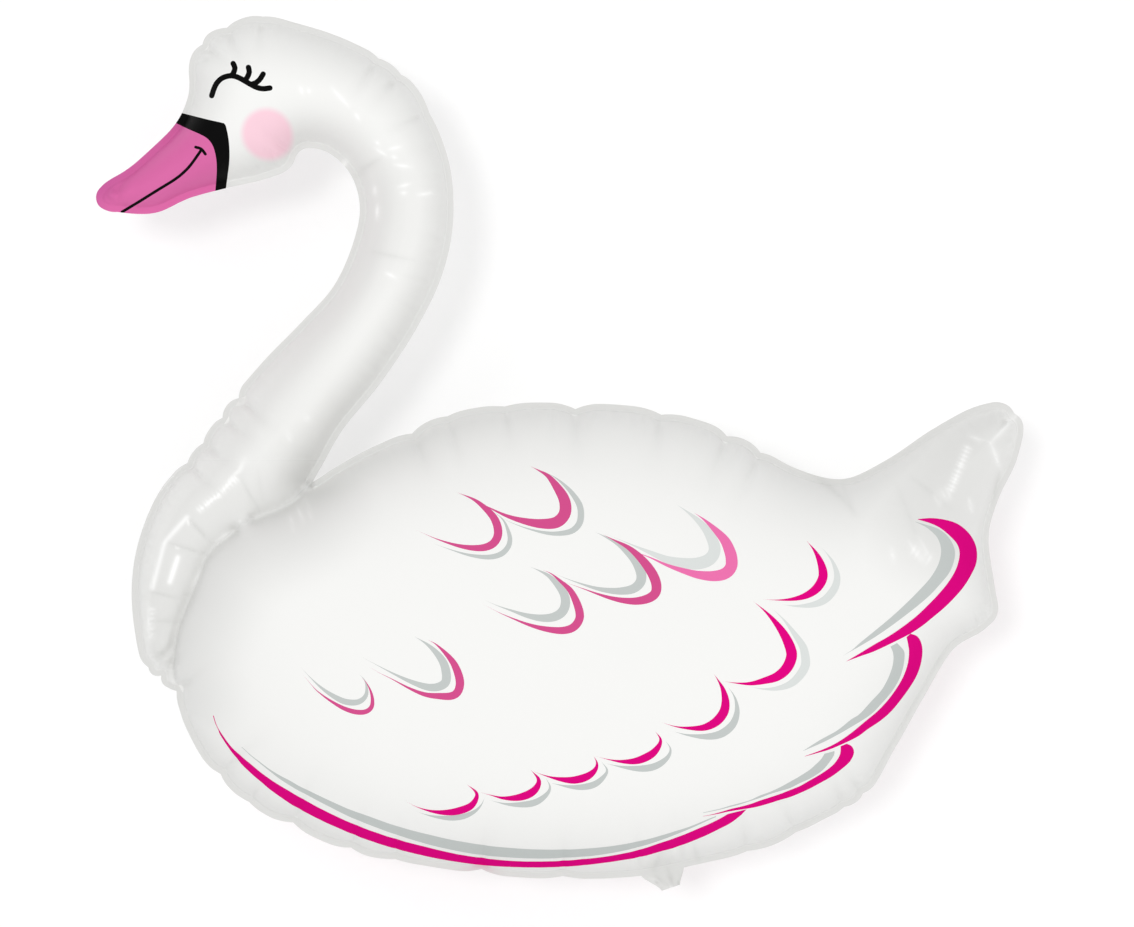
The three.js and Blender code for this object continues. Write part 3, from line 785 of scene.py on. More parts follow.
def rim_of(triangles):
    """Numbers of the points round the edge of a mesh, in order, counter-clockwise."""
    sides = {}
    for a, b, c in triangles.tolist():
        for side in ((a, b), (b, c), (c, a)):
            sides[side] = True
    onward = {a: b for a, b in sides if (b, a) not in sides}
    start = next(iter(onward))
    rim = [start]
    while onward[rim[-1]] != start:
        rim.append(onward[rim[-1]])
    return np.array(rim)


# Relief of the film. A pleat has a place, a direction, a length, a width and a depth.
CUSP_LENGTH = (0.045, 0.075)
CUSP_WIDTH = 0.0042
CUSP_DEPTH = 0.0024
CUSP_CLEARANCE = 0.006
PLEAT_SPACING = (0.008, 0.02)
PLEAT_LENGTH = (0.014, 0.05)
PLEAT_WIDTH = (0.0022, 0.0042)
PLEAT_DEPTH = (0.0005, 0.0016)
PLEAT_SLANT = 0.22

# A pleat is stronger and longer where the seam bulges out, as a share of the ranges above.
BEND_SIDE = 6
STRENGTH = 0.45
STRENGTH_BY_BULGE = 0.05
STRENGTH_RANGE = (0.12, 1)
LENGTH_SHARE = (0.6, 0.6)

# Wrinkles across the welds.
WRINKLE_EVERY = 4
WRINKLE_LENGTH = (0.008, 0.024)
WRINKLE_WIDTH = 0.0016
WRINKLE_DEPTH = (0.0002, 0.0006)
WRINKLE_SLANT = 0.35

# A pleat's form, in shares of its length and width: how far it reaches, how it widens, sets in and runs
# out along its length, and its cross section, with a low ridge at both sides.
PLEAT_START = -0.2
PLEAT_REACH = 4
PLEAT_WIDENING = (0.5, 1.6)
PLEAT_ONSET = (-0.05, 0.18)
PLEAT_END = 1.6
PLEAT_SECTION = 1.3
RIDGE_SHARE = 0.35
RIDGE_PLACE = 1.7
# Painted shade in a pleat, for each metre of its depth.
PLEAT_SHADE = 50

# A straight fold is weakest at its ends, and all folds fade out towards the seal.
FOLD_END_SHARE = 0.02
FOLD_LEAST = 0.35
FOLD_FADE = 0.004


def seam_wave(nearest):
    """Height of the seam's outer edge over its inner one, at points of the ring."""
    lengths = lengths_along(RING)
    wave = np.array([
        sum(high * noise.noise((s * fine, start, 0)) for high, fine, start in SEAM_WAVES) for s in lengths
    ])
    fade = smoothstep(0, SEAM_JOIN, np.minimum(lengths, lengths[-1] - lengths))
    return (wave * fade)[nearest]


def pleat_list():
    """The deep pleat at each pucker's cusp, finer ones between them, and the wrinkles of the welds."""
    _, left = sides_of(np.vstack([SEAM[-BESIDE:], SEAM, SEAM[:BESIDE]]))
    left = left[BESIDE:-BESIDE]
    pleats = [cusp_pleat(place, left) for place in RING[CUSPS]]
    cusps = tree_of(RING[CUSPS])
    lengths = lengths_along(SEAM)
    bend = turns(SEAM)
    bend = np.concatenate([bend[-BEND_SIDE:], bend, bend[:BEND_SIDE]])
    count = 2 * BEND_SIDE + 1
    bend = np.convolve(bend, np.ones(count) / count, "valid")
    at = 0.0
    while at < lengths[-1]:
        k = min(int(np.searchsorted(lengths, at)), len(SEAM) - 1)
        pleat = fine_pleat(SEAM[k], left[k], bend[k] / RING_STEP)
        if cusps.find((*SEAM[k], 0))[2] > CUSP_CLEARANCE:
            pleats.append(pleat)
        at += random.uniform(*PLEAT_SPACING)
    return pleats + weld_wrinkles()


def cusp_pleat(place, left):
    """Pleat at a pucker's cusp, square to the seam there."""
    _, nearest = nearest_on(place[None], SEAM, True)
    inward = left[nearest[0] - BESIDE:nearest[0] + BESIDE + 1].mean(0)
    return place, inward / np.linalg.norm(inward), random.uniform(*CUSP_LENGTH), CUSP_WIDTH, CUSP_DEPTH


def fine_pleat(place, left, bulge):
    """Pleat at a place of the seam, a little aslant, with its strength from the seam's bulge."""
    strength = float(np.clip(STRENGTH + bulge * STRENGTH_BY_BULGE, *STRENGTH_RANGE))
    slant = random.gauss(0, PLEAT_SLANT)
    inward = left * math.cos(slant) + np.array((left[1], -left[0])) * math.sin(slant)
    length = random.uniform(*PLEAT_LENGTH) * (LENGTH_SHARE[0] + LENGTH_SHARE[1] * strength)
    width = random.uniform(*PLEAT_WIDTH)
    return place, inward, length, width, random.uniform(*PLEAT_DEPTH) * strength


def weld_wrinkles():
    """Short wrinkles that cross the welds, in the form of the seam's pleats."""
    wrinkles = []
    for weld in WELDS:
        along, left = sides_of(weld)
        for k in range(BESIDE, len(weld) - BESIDE, WRINKLE_EVERY):
            for side in (1, -1):
                slant = random.gauss(0, WRINKLE_SLANT)
                inward = side * left[k] * math.cos(slant) + along[k] * math.sin(slant)
                length = random.uniform(*WRINKLE_LENGTH)
                depth = random.uniform(*WRINKLE_DEPTH)
                wrinkles.append((weld[k] - inward * SEAM_WIDTH, inward, length, WRINKLE_WIDTH, depth))
    return wrinkles


# Folds across the film: both ends, depth, width and tone. A raised fold has a negative depth.
# The tone is painted light: above 0 a painted highlight along the fold, below 0 painted shade in it.
CREASES = [
    (243, 477, 264, 514, 0.001, 0.0018, -0.3), (190, 517, 214, 543, 0.0014, 0.0018, -0.35),
    (167, 541, 214, 556, 0.0012, 0.0018, -0.3), (149, 590, 180, 598, 0.001, 0.0018, -0.3),
    (150, 620, 184, 622, 0.0006, 0.0018, -0.25), (150, 651, 178, 655, 0.0004, 0.0018, -0.2),
    (371, 252, 414, 262, 0.0008, 0.0022, -0.25), (352, 178, 382, 160, 0.0014, 0.003, -0.3),
    (1019, 412, 988, 443, -0.0012, 0.002, 0.75), (988, 443, 967, 436, -0.0006, 0.0016, 0.6),
    (988, 444, 976, 439, 0.0004, 0.0012, -0.4), (989, 444, 999, 469, -0.0009, 0.0018, 0.7),
    (999, 469, 993, 502, 0.0008, 0.0018, -0.45), (993, 502, 992, 530, 0.0004, 0.0018, -0.2),
    (965, 446, 944, 498, -0.0004, 0.0016, 0.35), (903, 540, 918, 562, -0.0004, 0.0014, 0.5),
    (911, 534, 924, 556, -0.0004, 0.0014, 0.4), (885, 546, 888, 560, -0.0004, 0.0014, 0.6),
    (965, 498, 969, 512, -0.0004, 0.0014, 0.6), (910, 478, 946, 508, 0.0005, 0.002, -0.3),
    (893, 484, 915, 545, 0.0003, 0.0024, -0.2), (800, 462, 838, 497, 0.0005, 0.0026, -0.25),
    (815, 468, 852, 514, 0.0004, 0.0026, -0.25), (842, 480, 849, 515, 0.0003, 0.002, -0.2),
    (652, 873, 661, 846, 0.0016, 0.0026, -0.35), (699, 862, 692, 840, 0.0014, 0.0026, -0.35),
    (655, 876, 664, 889, 0, 0.0016, -0.8), (668, 870, 672, 887, 0, 0.0016, -0.5),
    (676, 880, 682, 887, 0, 0.0016, -0.9), (686, 866, 679, 885, 0, 0.0016, -0.6),
    (660, 887, 681, 889, 0, 0.0014, 0.8), (649, 879, 658, 884, 0, 0.0016, 0.6),
    (218, 541, 234, 530, -0.0006, 0.0016, 0.6), (203, 570, 192, 589, -0.0004, 0.0016, 0.35),
    (181, 556, 172, 581, -0.0005, 0.0018, 0.5), (260, 470, 268, 510, 0.0003, 0.002, -0.15),
    (300, 505, 308, 523, -0.0003, 0.0014, 0.4), (308, 498, 316, 520, -0.0003, 0.0014, 0.3),
    (293, 512, 298, 530, -0.0003, 0.0014, 0.3), (290, 432, 293, 442, -0.0004, 0.0016, 0.5),
    (308, 417, 310, 421, -0.0004, 0.0016, 0.7), (150, 606, 149, 640, -0.0003, 0.0016, 0.5),
]

# Painted highlight bars along the lower neck.
BARS = [(190, 517, 168.5, 540), (166.5, 543.5, 154.5, 587), (180.5, 557, 172.5, 581)]
BAR_WIDTH = 0.0024
BAR_HIGHLIGHT = 0.85

# Short raised wrinkles on the upper neck, each with a painted highlight.
GLINTS = [
    (334, 91, 351, 110), (303, 90, 305, 98), (311, 92, 312, 97), (357, 116, 361, 123),
    (377, 144, 381, 147), (377, 151, 388, 158), (390, 152, 402, 149), (393, 159, 398, 160),
    (396, 167, 412, 169), (400, 189, 411, 186), (419, 197, 433, 194), (402, 195, 408, 195),
    (387, 274, 397, 279), (341, 168, 347, 160), (375, 188, 376, 196), (378, 206, 378, 220),
]
GLINT_HEIGHT = 0.0004
GLINT_WIDTH = 0.0014
GLINT_HIGHLIGHT = 0.9

# Painted light on the film's wall just inside the seal, paler than the shade of its depth.
FOOT_HIGHLIGHT = 0.3
FOOT_REACH = 0.004

# Rows of small raised cross wrinkles: both ends, number, half length, height, width and tone, a painted
# highlight.
LADDERS = [
    (242, 477, 200, 511, 13, 3.5, 0.0003, 0.001, 0.8), (154, 606, 152, 640, 7, 3, 0.0002, 0.001, 0.6),
    (966, 446, 945, 492, 12, 4, 0.0002, 0.001, 0.7), (945, 492, 930, 500, 5, 7, 0.0002, 0.001, 0.4),
    (905, 545, 925, 560, 4, 6, 0.0002, 0.0012, 0.5),
]
RUNG_SHIFT = (0.3, 0.7)


def rungs():
    """The wrinkles of the ladders as folds."""
    folds = []
    for x0, y0, x1, y1, count, half, rise, width, tone in LADDERS:
        length = math.hypot(x1 - x0, y1 - y0)
        across = ((y0 - y1) / length * half, (x1 - x0) / length * half)
        for k in range(count):
            t = (k + random.uniform(*RUNG_SHIFT)) / count
            x, y = x0 + (x1 - x0) * t, y0 + (y1 - y0) * t
            folds.append((x - across[0], y - across[1], x + across[0], y + across[1], -rise, width, tone))
    return folds


def away_from(points, start, end):
    """Distance of each point from a straight fold between two grid places, and its share along it."""
    a, b = np.array(on_film([start, end]))
    chord = b - a
    share = np.clip((points - a) @ chord / (chord @ chord), 0, 1)
    return np.linalg.norm(points - a - share[:, None] * chord, axis=1), share


def press_pleats(points, depth, tone):
    """Adds the pleats to the depth at each point, and their painted shade to the tone of the folds."""
    for place, inward, length, width, deep in PLEATS:
        offset = points - place
        along = (offset @ inward - SEAM_WIDTH) / length
        spread = width * (PLEAT_WIDENING[0] + PLEAT_WIDENING[1] * np.clip(along, 0, 1))
        across = np.abs(offset @ np.array((-inward[1], inward[0]))) / spread
        near = (along > PLEAT_START) & (along < 1) & (across < PLEAT_REACH)
        rise = smoothstep(*PLEAT_ONSET, along[near]) * (1 - np.clip(along[near], 0, 1))**PLEAT_END
        c = across[near]
        ridge = RIDGE_SHARE * np.exp(-(c - RIDGE_PLACE)**2)
        depth[near] += deep * rise * (np.exp(-c**PLEAT_SECTION) - ridge)
        # Painted shade in the pleat.
        tone[near] -= PLEAT_SHADE * deep * rise * np.exp(-c**2)


def relief(points, clear):
    """How far folds press each point of the film in along its normal, and the painted shade and
    highlights there.
    """
    depth = np.zeros(len(points))
    tone = np.zeros(len(points))
    press_pleats(points, depth, tone)
    glints = [(*ends, -GLINT_HEIGHT, GLINT_WIDTH, GLINT_HIGHLIGHT) for ends in GLINTS]
    for x0, y0, x1, y1, deep, width, paler in CREASES + rungs() + glints:
        away, share = away_from(points, (x0, y0), (x1, y1))
        arch = np.sin(np.pi * np.clip(share, FOLD_END_SHARE, 1 - FOLD_END_SHARE))
        line = (FOLD_LEAST + (1 - FOLD_LEAST) * arch) * np.exp(-away / width)
        depth += deep * line
        # The fold's tone paints a highlight above 0 and shade below 0.
        tone += paler * line
    # Painted highlight bars.
    for x0, y0, x1, y1 in BARS:
        away, _ = away_from(points, (x0, y0), (x1, y1))
        tone += BAR_HIGHLIGHT * np.exp(-(away / BAR_WIDTH)**2)
    # Painted light on the wall's foot.
    wall = smoothstep(-FOOT_REACH / 3, 0, clear) * np.exp(-(np.maximum(clear, 0) / FOOT_REACH)**2)
    tone += FOOT_HIGHLIGHT * wall
    return depth * smoothstep(0, FOLD_FADE, clear), np.clip(tone, -1, 1)


def facets(points):
    """Slow unevenness of a tight film."""
    return np.array([
        sum(high * noise.noise((x * fine, y * fine, start)) for high, fine, start in FACETS)
        for x, y in points
    ])


def corner_normals(co, triangles):
    """Unit normal at each point of a mesh."""
    a, b, c = (co[triangles[:, k]] for k in range(3))
    face = np.cross(b - a, c - a)
    normal = np.zeros_like(co)
    for k in range(3):
        np.add.at(normal, triangles[:, k], face)
    return normal / np.maximum(np.linalg.norm(normal, axis=1), TINY)[:, None]


def weld_valley(points, height):
    """Heights brought smoothly to the closing height along each weld, and the crease's depth there."""
    crease = np.zeros(len(points))
    for weld, closing in zip(WELDS, (UPPER_CLOSING, LOWER_CLOSING)):
        near = away_from_box(points, weld) < WELD_REACH
        away, nearest = nearest_on(points[near], weld, False)
        level = closing_height(closing, nearest / (len(weld) - 1))
        share = np.minimum(away / WELD_REACH, 1)
        height[near] = level + (height[near] - level) * share
        crease[near] += WELD_CREASE * np.exp(-away / WELD_CREASE_WIDTH)
    return height, crease


def tail_wave(points):
    """Height of the crumpled fill tail over the seam's middle plane."""
    outside = ~is_inside(points, SEAM)
    away, _ = nearest_on(points[outside], SEAM, True)
    along, up, start = TAIL_WAVES
    heights = [TAIL_CRUMPLE * noise.noise((x * along, y * up, start)) for x, y in points[outside]]
    wave = np.zeros(len(points))
    wave[outside] = heights * smoothstep(0, TAIL_WAVE_FADE, away)
    return wave


def flat_lift(points):
    """Lift of the seal and of the fill tail over the seam's middle plane."""
    away, nearest = nearest_on(points, RING, True)
    return seam_wave(nearest) * np.clip(1 - away / SEAM_WIDTH, 0, 1) + tail_wave(points)


def gathered(co):
    """The same points with the fill tail drawn together towards its end, as the gathered film is."""
    outside = ~is_inside(co[:, :2], SEAM)
    away, _ = nearest_on(co[outside, :2], SEAM, True)
    share = smoothstep(0, TAIL_LENGTH, away)
    middle = on_film([TAIL_MIDDLE])[0][0] + TAIL_SHIFT * share
    narrow = 1 - TAIL_GATHER * share
    co = co.copy()
    co[outside, 0] = middle + (co[outside, 0] - middle + TAIL_SHIFT * share) * narrow
    return co


def film_shape(points, triangles):
    """The front film over its points, and the painted shade and highlights of its folds."""
    clear = clearance(points)
    away, _ = nearest_on(points, RING, True)
    rim = np.clip(away / SEAM_ROWS[0], 0, 1)
    height, crease = weld_valley(points, half_depth(points, clear))
    co = np.column_stack([points, height])
    normal = corner_normals(co, triangles)
    folds, tone = relief(points, clear)
    depth = folds - facets(points) * smoothstep(0, FACET_FADE, clear)
    depth = depth / np.maximum(normal[:, 2], STEEPEST) + crease * smoothstep(0, WELD_CREASE_FADE, clear)
    co[:, 2] = np.maximum(height - depth, 0) + SEAL_HALF_THICKNESS * rim
    return co, tone


def rim_shade(points):
    """Painted shade on the film: fully on the seal, less and less away from it and from the shade lines.
    """
    away, _ = nearest_on(points, SEAM, True)
    inside = is_inside(points, SEAM)
    deep = np.maximum(away - SEAM_WIDTH, 0)
    shade = np.where(inside & (deep > 0), WALL_SHADE * np.exp(-deep / RIM_FADE), 1)
    for line, share, reach in SHADE_LINES:
        away, _ = nearest_on(points, smooth(on_film(line), FILM_STEP), False)
        shade = np.maximum(shade, share * (1 - smoothstep(0, reach, away)))
    return shade


def lining(ring_points):
    """Coarse inner layer of a film: points, triangles and heights over the middle plane."""
    row = offset_row(SEAM[::LINING_EVERY], SEAM_WIDTH + LINING_INSET, True, LINING_STEP / 2)
    row = row[clearance(row) > LINING_INSET / 2]
    welds = [weld[clearance(weld) > LINING_STEP / 4][LINING_EVERY - 1::LINING_EVERY] for weld in WELDS]
    spread = lattice(LINING_STEP)
    spread = spread[clearance(spread) > LINING_STEP / 2]
    inner = np.vstack([row, *welds, spread, tail_lattice()])
    points, triangles, _ = triangulate(ring_points, inner, [])
    clear = clearance(points)
    height = np.maximum(half_depth(points, clear) - LINING_GAP, 0) * smoothstep(0, LINING_STEP, clear)
    return points, triangles, height


def gloss_of(points):
    """How glossy the film looks: fully on the lower neck and not on the body."""
    inside = is_inside(points, np.array(on_film(UPPER_WELD + LOWER_WELD + NECK_SIDE)))
    down = GRID_MIDDLE[1] - points[:, 1] / GRID_STEP
    return np.where(inside, smoothstep(*GLOSS_RANGE, down), 0)


def add_object(name, data):
    """New object in the scene."""
    added = bpy.data.objects.new(name, data)
    bpy.context.scene.collection.objects.link(added)
    return added


def add_piece(name, co, triangles, inks, masks, rim, materials):
    """One film as an object, with an ink on each face, masks on its points and a sharp rim."""
    mesh = bpy.data.meshes.new(name)
    mesh.from_pydata(co.tolist(), [], triangles.tolist())
    for material in materials:
        mesh.materials.append(material)
    mesh.polygons.foreach_set("material_index", inks.astype(np.int32))
    mesh.polygons.foreach_set("use_smooth", np.ones(len(triangles), bool))
    for mask, values in masks.items():
        mesh.attributes.new(mask, "FLOAT", "POINT").data.foreach_set("value", values.astype(np.float32))
    ends = np.empty(2 * len(mesh.edges), np.int32)
    mesh.edges.foreach_get("vertices", ends)
    sharp = np.isin(ends.reshape(-1, 2), rim).all(1)
    mesh.attributes.new("sharp_edge", "BOOLEAN", "EDGE").data.foreach_set("value", sharp)
    mesh.update()
    piece = add_object(name, mesh)
    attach(piece, "root")
    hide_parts(BALLOON.name)


def joined_numbers(points, rim, inner):
    """Number of each lining point in the whole film: its own on the rim, else one after the film's."""
    tree = tree_of(points[rim])
    found = [tree.find((x, y, 0))[1:] for x, y in inner]
    on_rim = np.array([away < SAME_PLACE for _, away in found])
    numbers = rim[[i for i, _ in found]]
    numbers[~on_rim] = len(points) + np.arange((~on_rim).sum())
    return numbers, on_rim


def make_films(materials):
    """The front film and the back one, each closed by its own lining."""
    shapes = print_outlines()
    points, triangles, inks = triangulate(RING, film_points(shapes), shapes)
    rim = rim_of(triangles)
    co, tone = film_shape(points, triangles)
    # Masks of painted shade by the seals and lines, and of painted highlights and shade at the folds.
    masks = {"rim": rim_shade(points), "gloss": gloss_of(points), "fold": tone}
    inner, inner_triangles, inner_height = lining(points[rim])
    numbers, on_rim = joined_numbers(points, rim, inner)
    places = np.vstack([points, inner[~on_rim]])
    heights = np.concatenate([co[:, 2], inner_height[~on_rim]])
    lift = np.concatenate([flat_lift(points), flat_lift(inner[~on_rim])])
    both = np.vstack([triangles, numbers[inner_triangles][:, ::-1]])
    labels = np.concatenate([inks, np.zeros(len(inner_triangles), int)])
    spread = {mask: np.pad(values, (0, len(places) - len(points))) for mask, values in masks.items()}
    for name, side in (("front_film", 1), ("back_film", -1)):
        place = gathered(np.column_stack([places, np.maximum(side * heights + lift + MIDDLE, 0)]))
        add_piece(name, place, both[:, ::side], labels, spread, rim, materials)


# Materials.
BODY_ROUGHNESS = 0.45
NECK_ROUGHNESS = 0.09
FILM_SPECULAR = 0.5
FILM_CRINKLE = 0.12
INK_ROUGHNESS = 0.4
INK_SPECULAR = 0
INK_CRINKLE = 0.06
BLACK_SPECULAR = 0.02
BILL_SPECULAR = 0.1
BILL_CRINKLE = 0.08

# The fine crinkle: size, detail and distortion of its noise, and its height.
CRINKLE_SCALE = 55
CRINKLE_DETAIL = 3
CRINKLE_DISTORTION = 1.2
CRINKLE_HEIGHT = 0.0006

# The blush fades between these shares of the cheek's radius.
BLUSH_EDGE = (1.06, 0.74)

# A mix node's sockets share their names, so the ones for colours are numbered.
FIRST_COLOUR, SECOND_COLOUR, MIXED_COLOUR = 6, 7, 2


def linear(red, green, blue, share=1.0):
    """Colour with alpha for a shader, as a share of one that is given as it is seen on a screen."""
    channels = [c / 255 for c in (red, green, blue)]
    return (*[share * (c / 12.92 if c < 0.04 else ((c + 0.055) / 1.055)**2.4) for c in channels], 1)


FILM_WHITE = linear(241, 241, 239)
# Painted shade by the seals, then the painted highlight and the painted shade of the folds.
RIM_SHADE_GREY = linear(218, 218, 216)
FOLD_HIGHLIGHT_WHITE = linear(255, 255, 254)
FOLD_SHADE_GREY = linear(196, 197, 194)
BLUSH = linear(246, 205, 218)
BLACK_INK = linear(13, 13, 13)
BILL_PINK = linear(213, 104, 163, 1.02)
BILL_SHADE = linear(182, 84, 144, 1.1)
INK_COLOURS = {
    "bright magenta": linear(222, 8, 128),
    "magenta": linear(214, 10, 124, 1.03),
    "rose": linear(213, 82, 142, 0.95),
    "pale rose": linear(238, 116, 176, 0.95),
    "grey": linear(197, 202, 200, 0.95),
    "pale grey": linear(221, 225, 223, 0.95),
}


def new_material(name, roughness, specular):
    """New material and its shader."""
    material = bpy.data.materials.new(name)
    material.use_nodes = True
    shader = material.node_tree.nodes["Principled BSDF"]
    shader.inputs["Roughness"].default_value = roughness
    shader.inputs["Specular IOR Level"].default_value = specular
    return material, shader


def add_node(tree, kind, values=None, **settings):
    """New node with its settings, and with values for some of its inputs by name or number."""
    node = tree.nodes.new(kind)
    for key, value in settings.items():
        setattr(node, key, value)
    for socket, value in (values or {}).items():
        node.inputs[socket].default_value = value
    return node


def foil_surface():
    """Node group: the fine crinkle of a tight foil, as a normal."""
    tree = bpy.data.node_groups.new("foil_surface", "ShaderNodeTree")
    tree.interface.new_socket("Crinkle", in_out="INPUT", socket_type="NodeSocketFloat")
    tree.interface.new_socket("Normal", in_out="OUTPUT", socket_type="NodeSocketVector")
    source = add_node(tree, "NodeGroupInput")
    result = add_node(tree, "NodeGroupOutput")
    place = add_node(tree, "ShaderNodeTexCoord")
    form = {"Scale": CRINKLE_SCALE, "Detail": CRINKLE_DETAIL, "Distortion": CRINKLE_DISTORTION}
    crinkle = add_node(tree, "ShaderNodeTexNoise", form)
    bump = add_node(tree, "ShaderNodeBump", {"Distance": CRINKLE_HEIGHT})
    tree.links.new(place.outputs["Object"], crinkle.inputs["Vector"])
    tree.links.new(crinkle.outputs["Fac"], bump.inputs["Height"])
    tree.links.new(source.outputs["Crinkle"], bump.inputs["Strength"])
    tree.links.new(bump.outputs["Normal"], result.inputs["Normal"])
    return tree


def lay_foil(material, shader, foil, crinkle):
    """Gives a material the crinkle of the foil."""
    tree = material.node_tree
    surface = tree.nodes.new("ShaderNodeGroup")
    surface.node_tree = foil
    surface.inputs["Crinkle"].default_value = crinkle
    tree.links.new(surface.outputs["Normal"], shader.inputs["Normal"])


def mix_colours(tree, first, second, mask):
    """Node that goes from one colour to the other with a mask. Either colour may be a socket."""
    mix = add_node(tree, "ShaderNodeMix", data_type="RGBA")
    for number, colour in ((FIRST_COLOUR, first), (SECOND_COLOUR, second)):
        if isinstance(colour, tuple):
            mix.inputs[number].default_value = colour
        else:
            tree.links.new(colour, mix.inputs[number])
    tree.links.new(mask, mix.inputs["Factor"])
    return mix.outputs[MIXED_COLOUR]


def pearl_film(foil):
    """White film with painted shade by the seals, along the lines and in folds, painted highlights, the
    cheek's blush, glossy on the lower neck.
    """
    material, shader = new_material("pearl_film", BODY_ROUGHNESS, FILM_SPECULAR)
    tree = material.node_tree
    # Painted shade by the seals and along the welds, neck and tail.
    rim = add_node(tree, "ShaderNodeAttribute", attribute_name="rim")
    white = mix_colours(tree, FILM_WHITE, RIM_SHADE_GREY, rim.outputs["Fac"])
    # Painted highlights where the fold mask is above 0, painted shade where it is below 0.
    fold = add_node(tree, "ShaderNodeAttribute", attribute_name="fold")
    white = mix_colours(tree, white, FOLD_HIGHLIGHT_WHITE, fold.outputs["Fac"])
    fold_shade = add_node(tree, "ShaderNodeMath", {1: -1}, operation="MULTIPLY")
    tree.links.new(fold.outputs["Fac"], fold_shade.inputs[0])
    white = mix_colours(tree, white, FOLD_SHADE_GREY, fold_shade.outputs["Value"])
    tree.links.new(mix_colours(tree, white, BLUSH, cheek_mask(tree)), shader.inputs["Base Color"])
    gloss = add_node(tree, "ShaderNodeAttribute", attribute_name="gloss")
    dull = add_node(tree, "ShaderNodeMapRange", {"To Min": BODY_ROUGHNESS, "To Max": NECK_ROUGHNESS})
    tree.links.new(gloss.outputs["Fac"], dull.inputs["Value"])
    tree.links.new(dull.outputs["Result"], shader.inputs["Roughness"])
    lay_foil(material, shader, foil, FILM_CRINKLE)
    return material


def cheek_mask(tree):
    """Round soft spot on the cheek."""
    x, y = from_view(np.array(on_film([CHEEK_PLACE])))[0]
    place = add_node(tree, "ShaderNodeTexCoord")
    centre = add_node(tree, "ShaderNodeMapping", {"Location": (-x, -y, 0)})
    flat = add_node(tree, "ShaderNodeVectorMath", {1: (1, 1, 0)}, operation="MULTIPLY")
    away = add_node(tree, "ShaderNodeVectorMath", operation="LENGTH")
    start, end = (CHEEK_RADIUS * share for share in BLUSH_EDGE)
    edge = {"From Min": start, "From Max": end}
    blush = add_node(tree, "ShaderNodeMapRange", edge, interpolation_type="SMOOTHSTEP")
    tree.links.new(place.outputs["Object"], centre.inputs["Vector"])
    tree.links.new(centre.outputs["Vector"], flat.inputs[0])
    tree.links.new(flat.outputs["Vector"], away.inputs[0])
    tree.links.new(away.outputs["Value"], blush.inputs["Value"])
    return blush.outputs["Result"]


def bill_ink(foil):
    """Pink ink, darkened by painted shade towards the upper edge of the bill."""
    material, shader = new_material("bill_ink", INK_ROUGHNESS, BILL_SPECULAR)
    tree = material.node_tree
    place = add_node(tree, "ShaderNodeTexCoord")
    across = add_node(tree, "ShaderNodeVectorMath", {1: (*BILL_ACROSS, 0)}, operation="DOT_PRODUCT")
    start = float(np.dot(on_film([BILL_MIDDLE])[0], BILL_ACROSS))
    reach = {"From Min": start, "From Max": start + BILL_SHADE_REACH}
    deep = add_node(tree, "ShaderNodeMapRange", reach, interpolation_type="SMOOTHSTEP")
    tree.links.new(place.outputs["Object"], across.inputs[0])
    tree.links.new(across.outputs["Value"], deep.inputs["Value"])
    colour = mix_colours(tree, BILL_PINK, BILL_SHADE, deep.outputs["Result"])
    tree.links.new(colour, shader.inputs["Base Color"])
    lay_foil(material, shader, foil, BILL_CRINKLE)
    return material


def plain_ink(name, colour, foil, specular):
    """Ink of one colour."""
    material, shader = new_material(name, INK_ROUGHNESS, specular)
    shader.inputs["Base Color"].default_value = colour
    lay_foil(material, shader, foil, INK_CRINKLE)
    return material


def film_materials():
    """The film first, then the inks in their order."""
    foil = foil_surface()
    made = [pearl_film(foil)]
    for ink in INKS:
        if ink == "bill":
            made.append(bill_ink(foil))
        elif ink == "black":
            made.append(plain_ink("black_ink", BLACK_INK, foil, BLACK_SPECULAR))
        else:
            made.append(plain_ink(ink.replace(" ", "_") + "_ink", INK_COLOURS[ink], foil, INK_SPECULAR))
    return made


# Stage.
FLOOR_WIDTH = 12
FLOOR_DROP = 0.0003
FLOOR_WHITE = (0.6, 0.6, 0.6, 1)
FLOOR_GLOW = 0.41
FLOOR_ROUGHNESS = 0.9
FLOOR_SPECULAR = 0.1
SUN_POWER = 0.72
SUN_ANGLE = math.radians(12)
SUN_PLACE = (-0.22, 0.1, 1)
SKY_LOW = 0.56
SKY_HIGH = 1.02
SKY_PLACE = (0.72, -0.38, 1)
STRIP_PLACE = (-1.27, 0.55, 1.69)
STRIP_AIM = (-0.34, -0.08, 0.17)
STRIP_ALONG = (0.57, 0.82, 0)
STRIP_SIZE = (0.75, 0.4)
STRIP_POWER = 2.6


def add_camera():
    """The photograph's view, straight down on the balloon."""
    data = bpy.data.cameras.new("camera")
    data.sensor_width = SENSOR_WIDTH
    data.lens = SENSOR_WIDTH * VIEW_DISTANCE / VIEW_WIDTH
    data.clip_end = CLIP_END
    camera = add_object("camera", data)
    camera.location = (*VIEW_PLACE, MIDDLE + VIEW_DISTANCE)
    bpy.context.scene.camera = camera


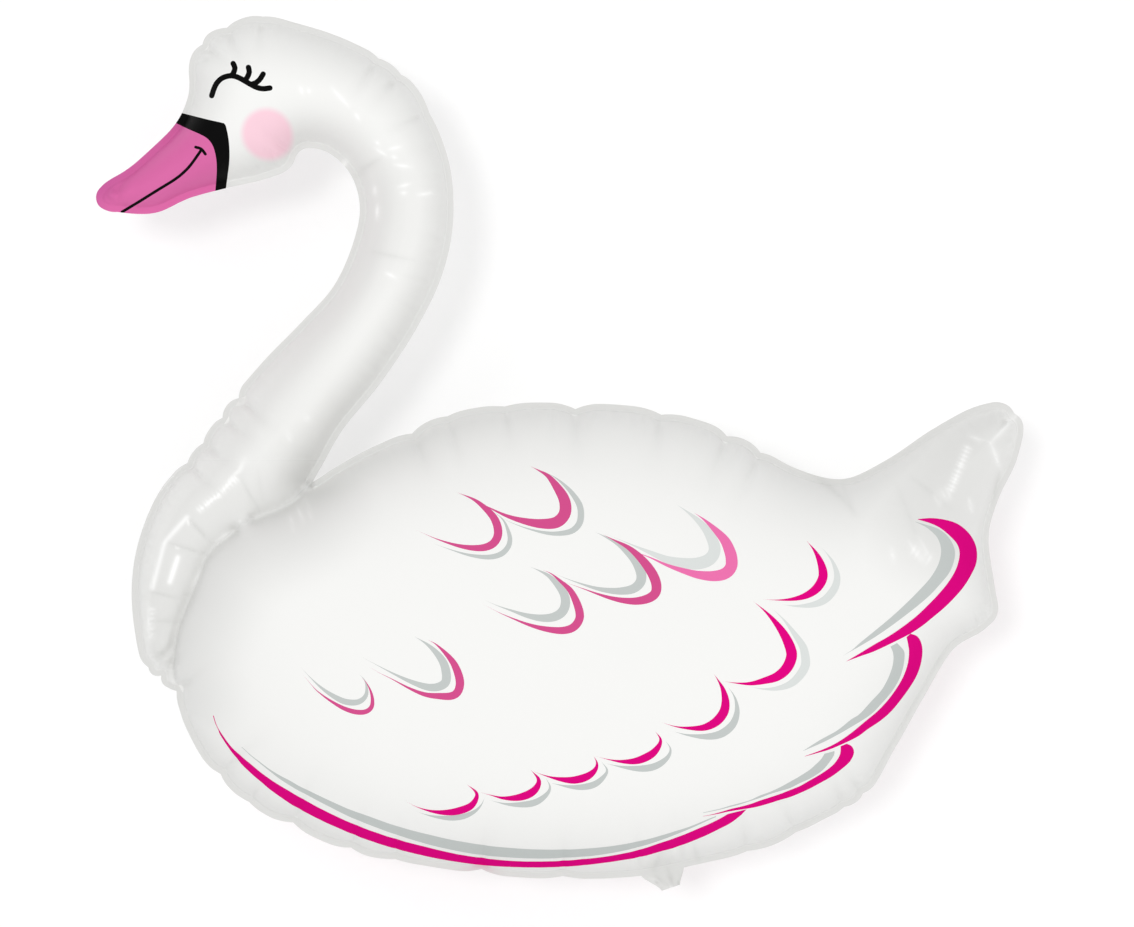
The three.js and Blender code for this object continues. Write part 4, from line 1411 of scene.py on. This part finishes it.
def add_floor():
    """Pale floor that glows a little, so that it looks as white as the photograph's ground."""
    mesh = bpy.data.meshes.new("floor")
    half = FLOOR_WIDTH / 2
    square = ((-half, -half), (half, -half), (half, half), (-half, half))
    corners = [(x, y, -FLOOR_DROP) for x, y in square]
    mesh.from_pydata(corners, [], [(0, 1, 2, 3)])
    floor = add_object("floor", mesh)
    material, shader = new_material("floor_white", FLOOR_ROUGHNESS, FLOOR_SPECULAR)
    shader.inputs["Base Color"].default_value = FLOOR_WHITE
    shader.inputs["Emission Color"].default_value = (1, 1, 1, 1)
    shader.inputs["Emission Strength"].default_value = FLOOR_GLOW
    mesh.materials.append(material)


def add_strip():
    """Long narrow lamp beyond the neck, which the glossy neck mirrors as bright bars."""
    strip = bpy.data.lights.new("strip", "AREA")
    strip.shape = "RECTANGLE"
    strip.size, strip.size_y = STRIP_SIZE
    strip.energy = STRIP_POWER
    lamp = add_object("strip", strip)
    lamp.location = STRIP_PLACE
    towards = Vector(STRIP_AIM) - Vector(STRIP_PLACE)
    side = Vector(STRIP_ALONG)
    side = (side - towards * side.dot(towards) / towards.length_squared).normalized()
    back = -towards.normalized()
    lamp.rotation_euler = Matrix((side, back.cross(side), back)).transposed().to_euler()


def add_light():
    """A soft studio light: a sky that is brightest at the lower right, and a lamp from the upper left."""
    sun = bpy.data.lights.new("sun", "SUN")
    sun.energy = SUN_POWER
    sun.angle = SUN_ANGLE
    lamp = add_object("sun", sun)
    lamp.rotation_euler = Vector(SUN_PLACE).to_track_quat("Z", "Y").to_euler()
    lamp.visible_glossy = False
    add_strip()
    world = bpy.data.worlds.new("studio")
    world.use_nodes = True
    tree = world.node_tree
    place = add_node(tree, "ShaderNodeTexCoord")
    brightest = Vector(SKY_PLACE).normalized()
    towards = add_node(tree, "ShaderNodeVectorMath", {1: brightest}, operation="DOT_PRODUCT")
    rise = add_node(tree, "ShaderNodeMapRange", {"To Min": SKY_LOW, "To Max": SKY_HIGH})
    tree.links.new(place.outputs["Generated"], towards.inputs[0])
    tree.links.new(towards.outputs["Value"], rise.inputs["Value"])
    tree.links.new(rise.outputs["Result"], tree.nodes["Background"].inputs["Strength"])
    tree.nodes["Background"].inputs["Color"].default_value = (1, 1, 1, 1)
    bpy.context.scene.world = world


bpy.context.scene.view_settings.view_transform = "Standard"
PLEATS = pleat_list()
make_films(film_materials())
add_floor()
add_camera()
add_light()
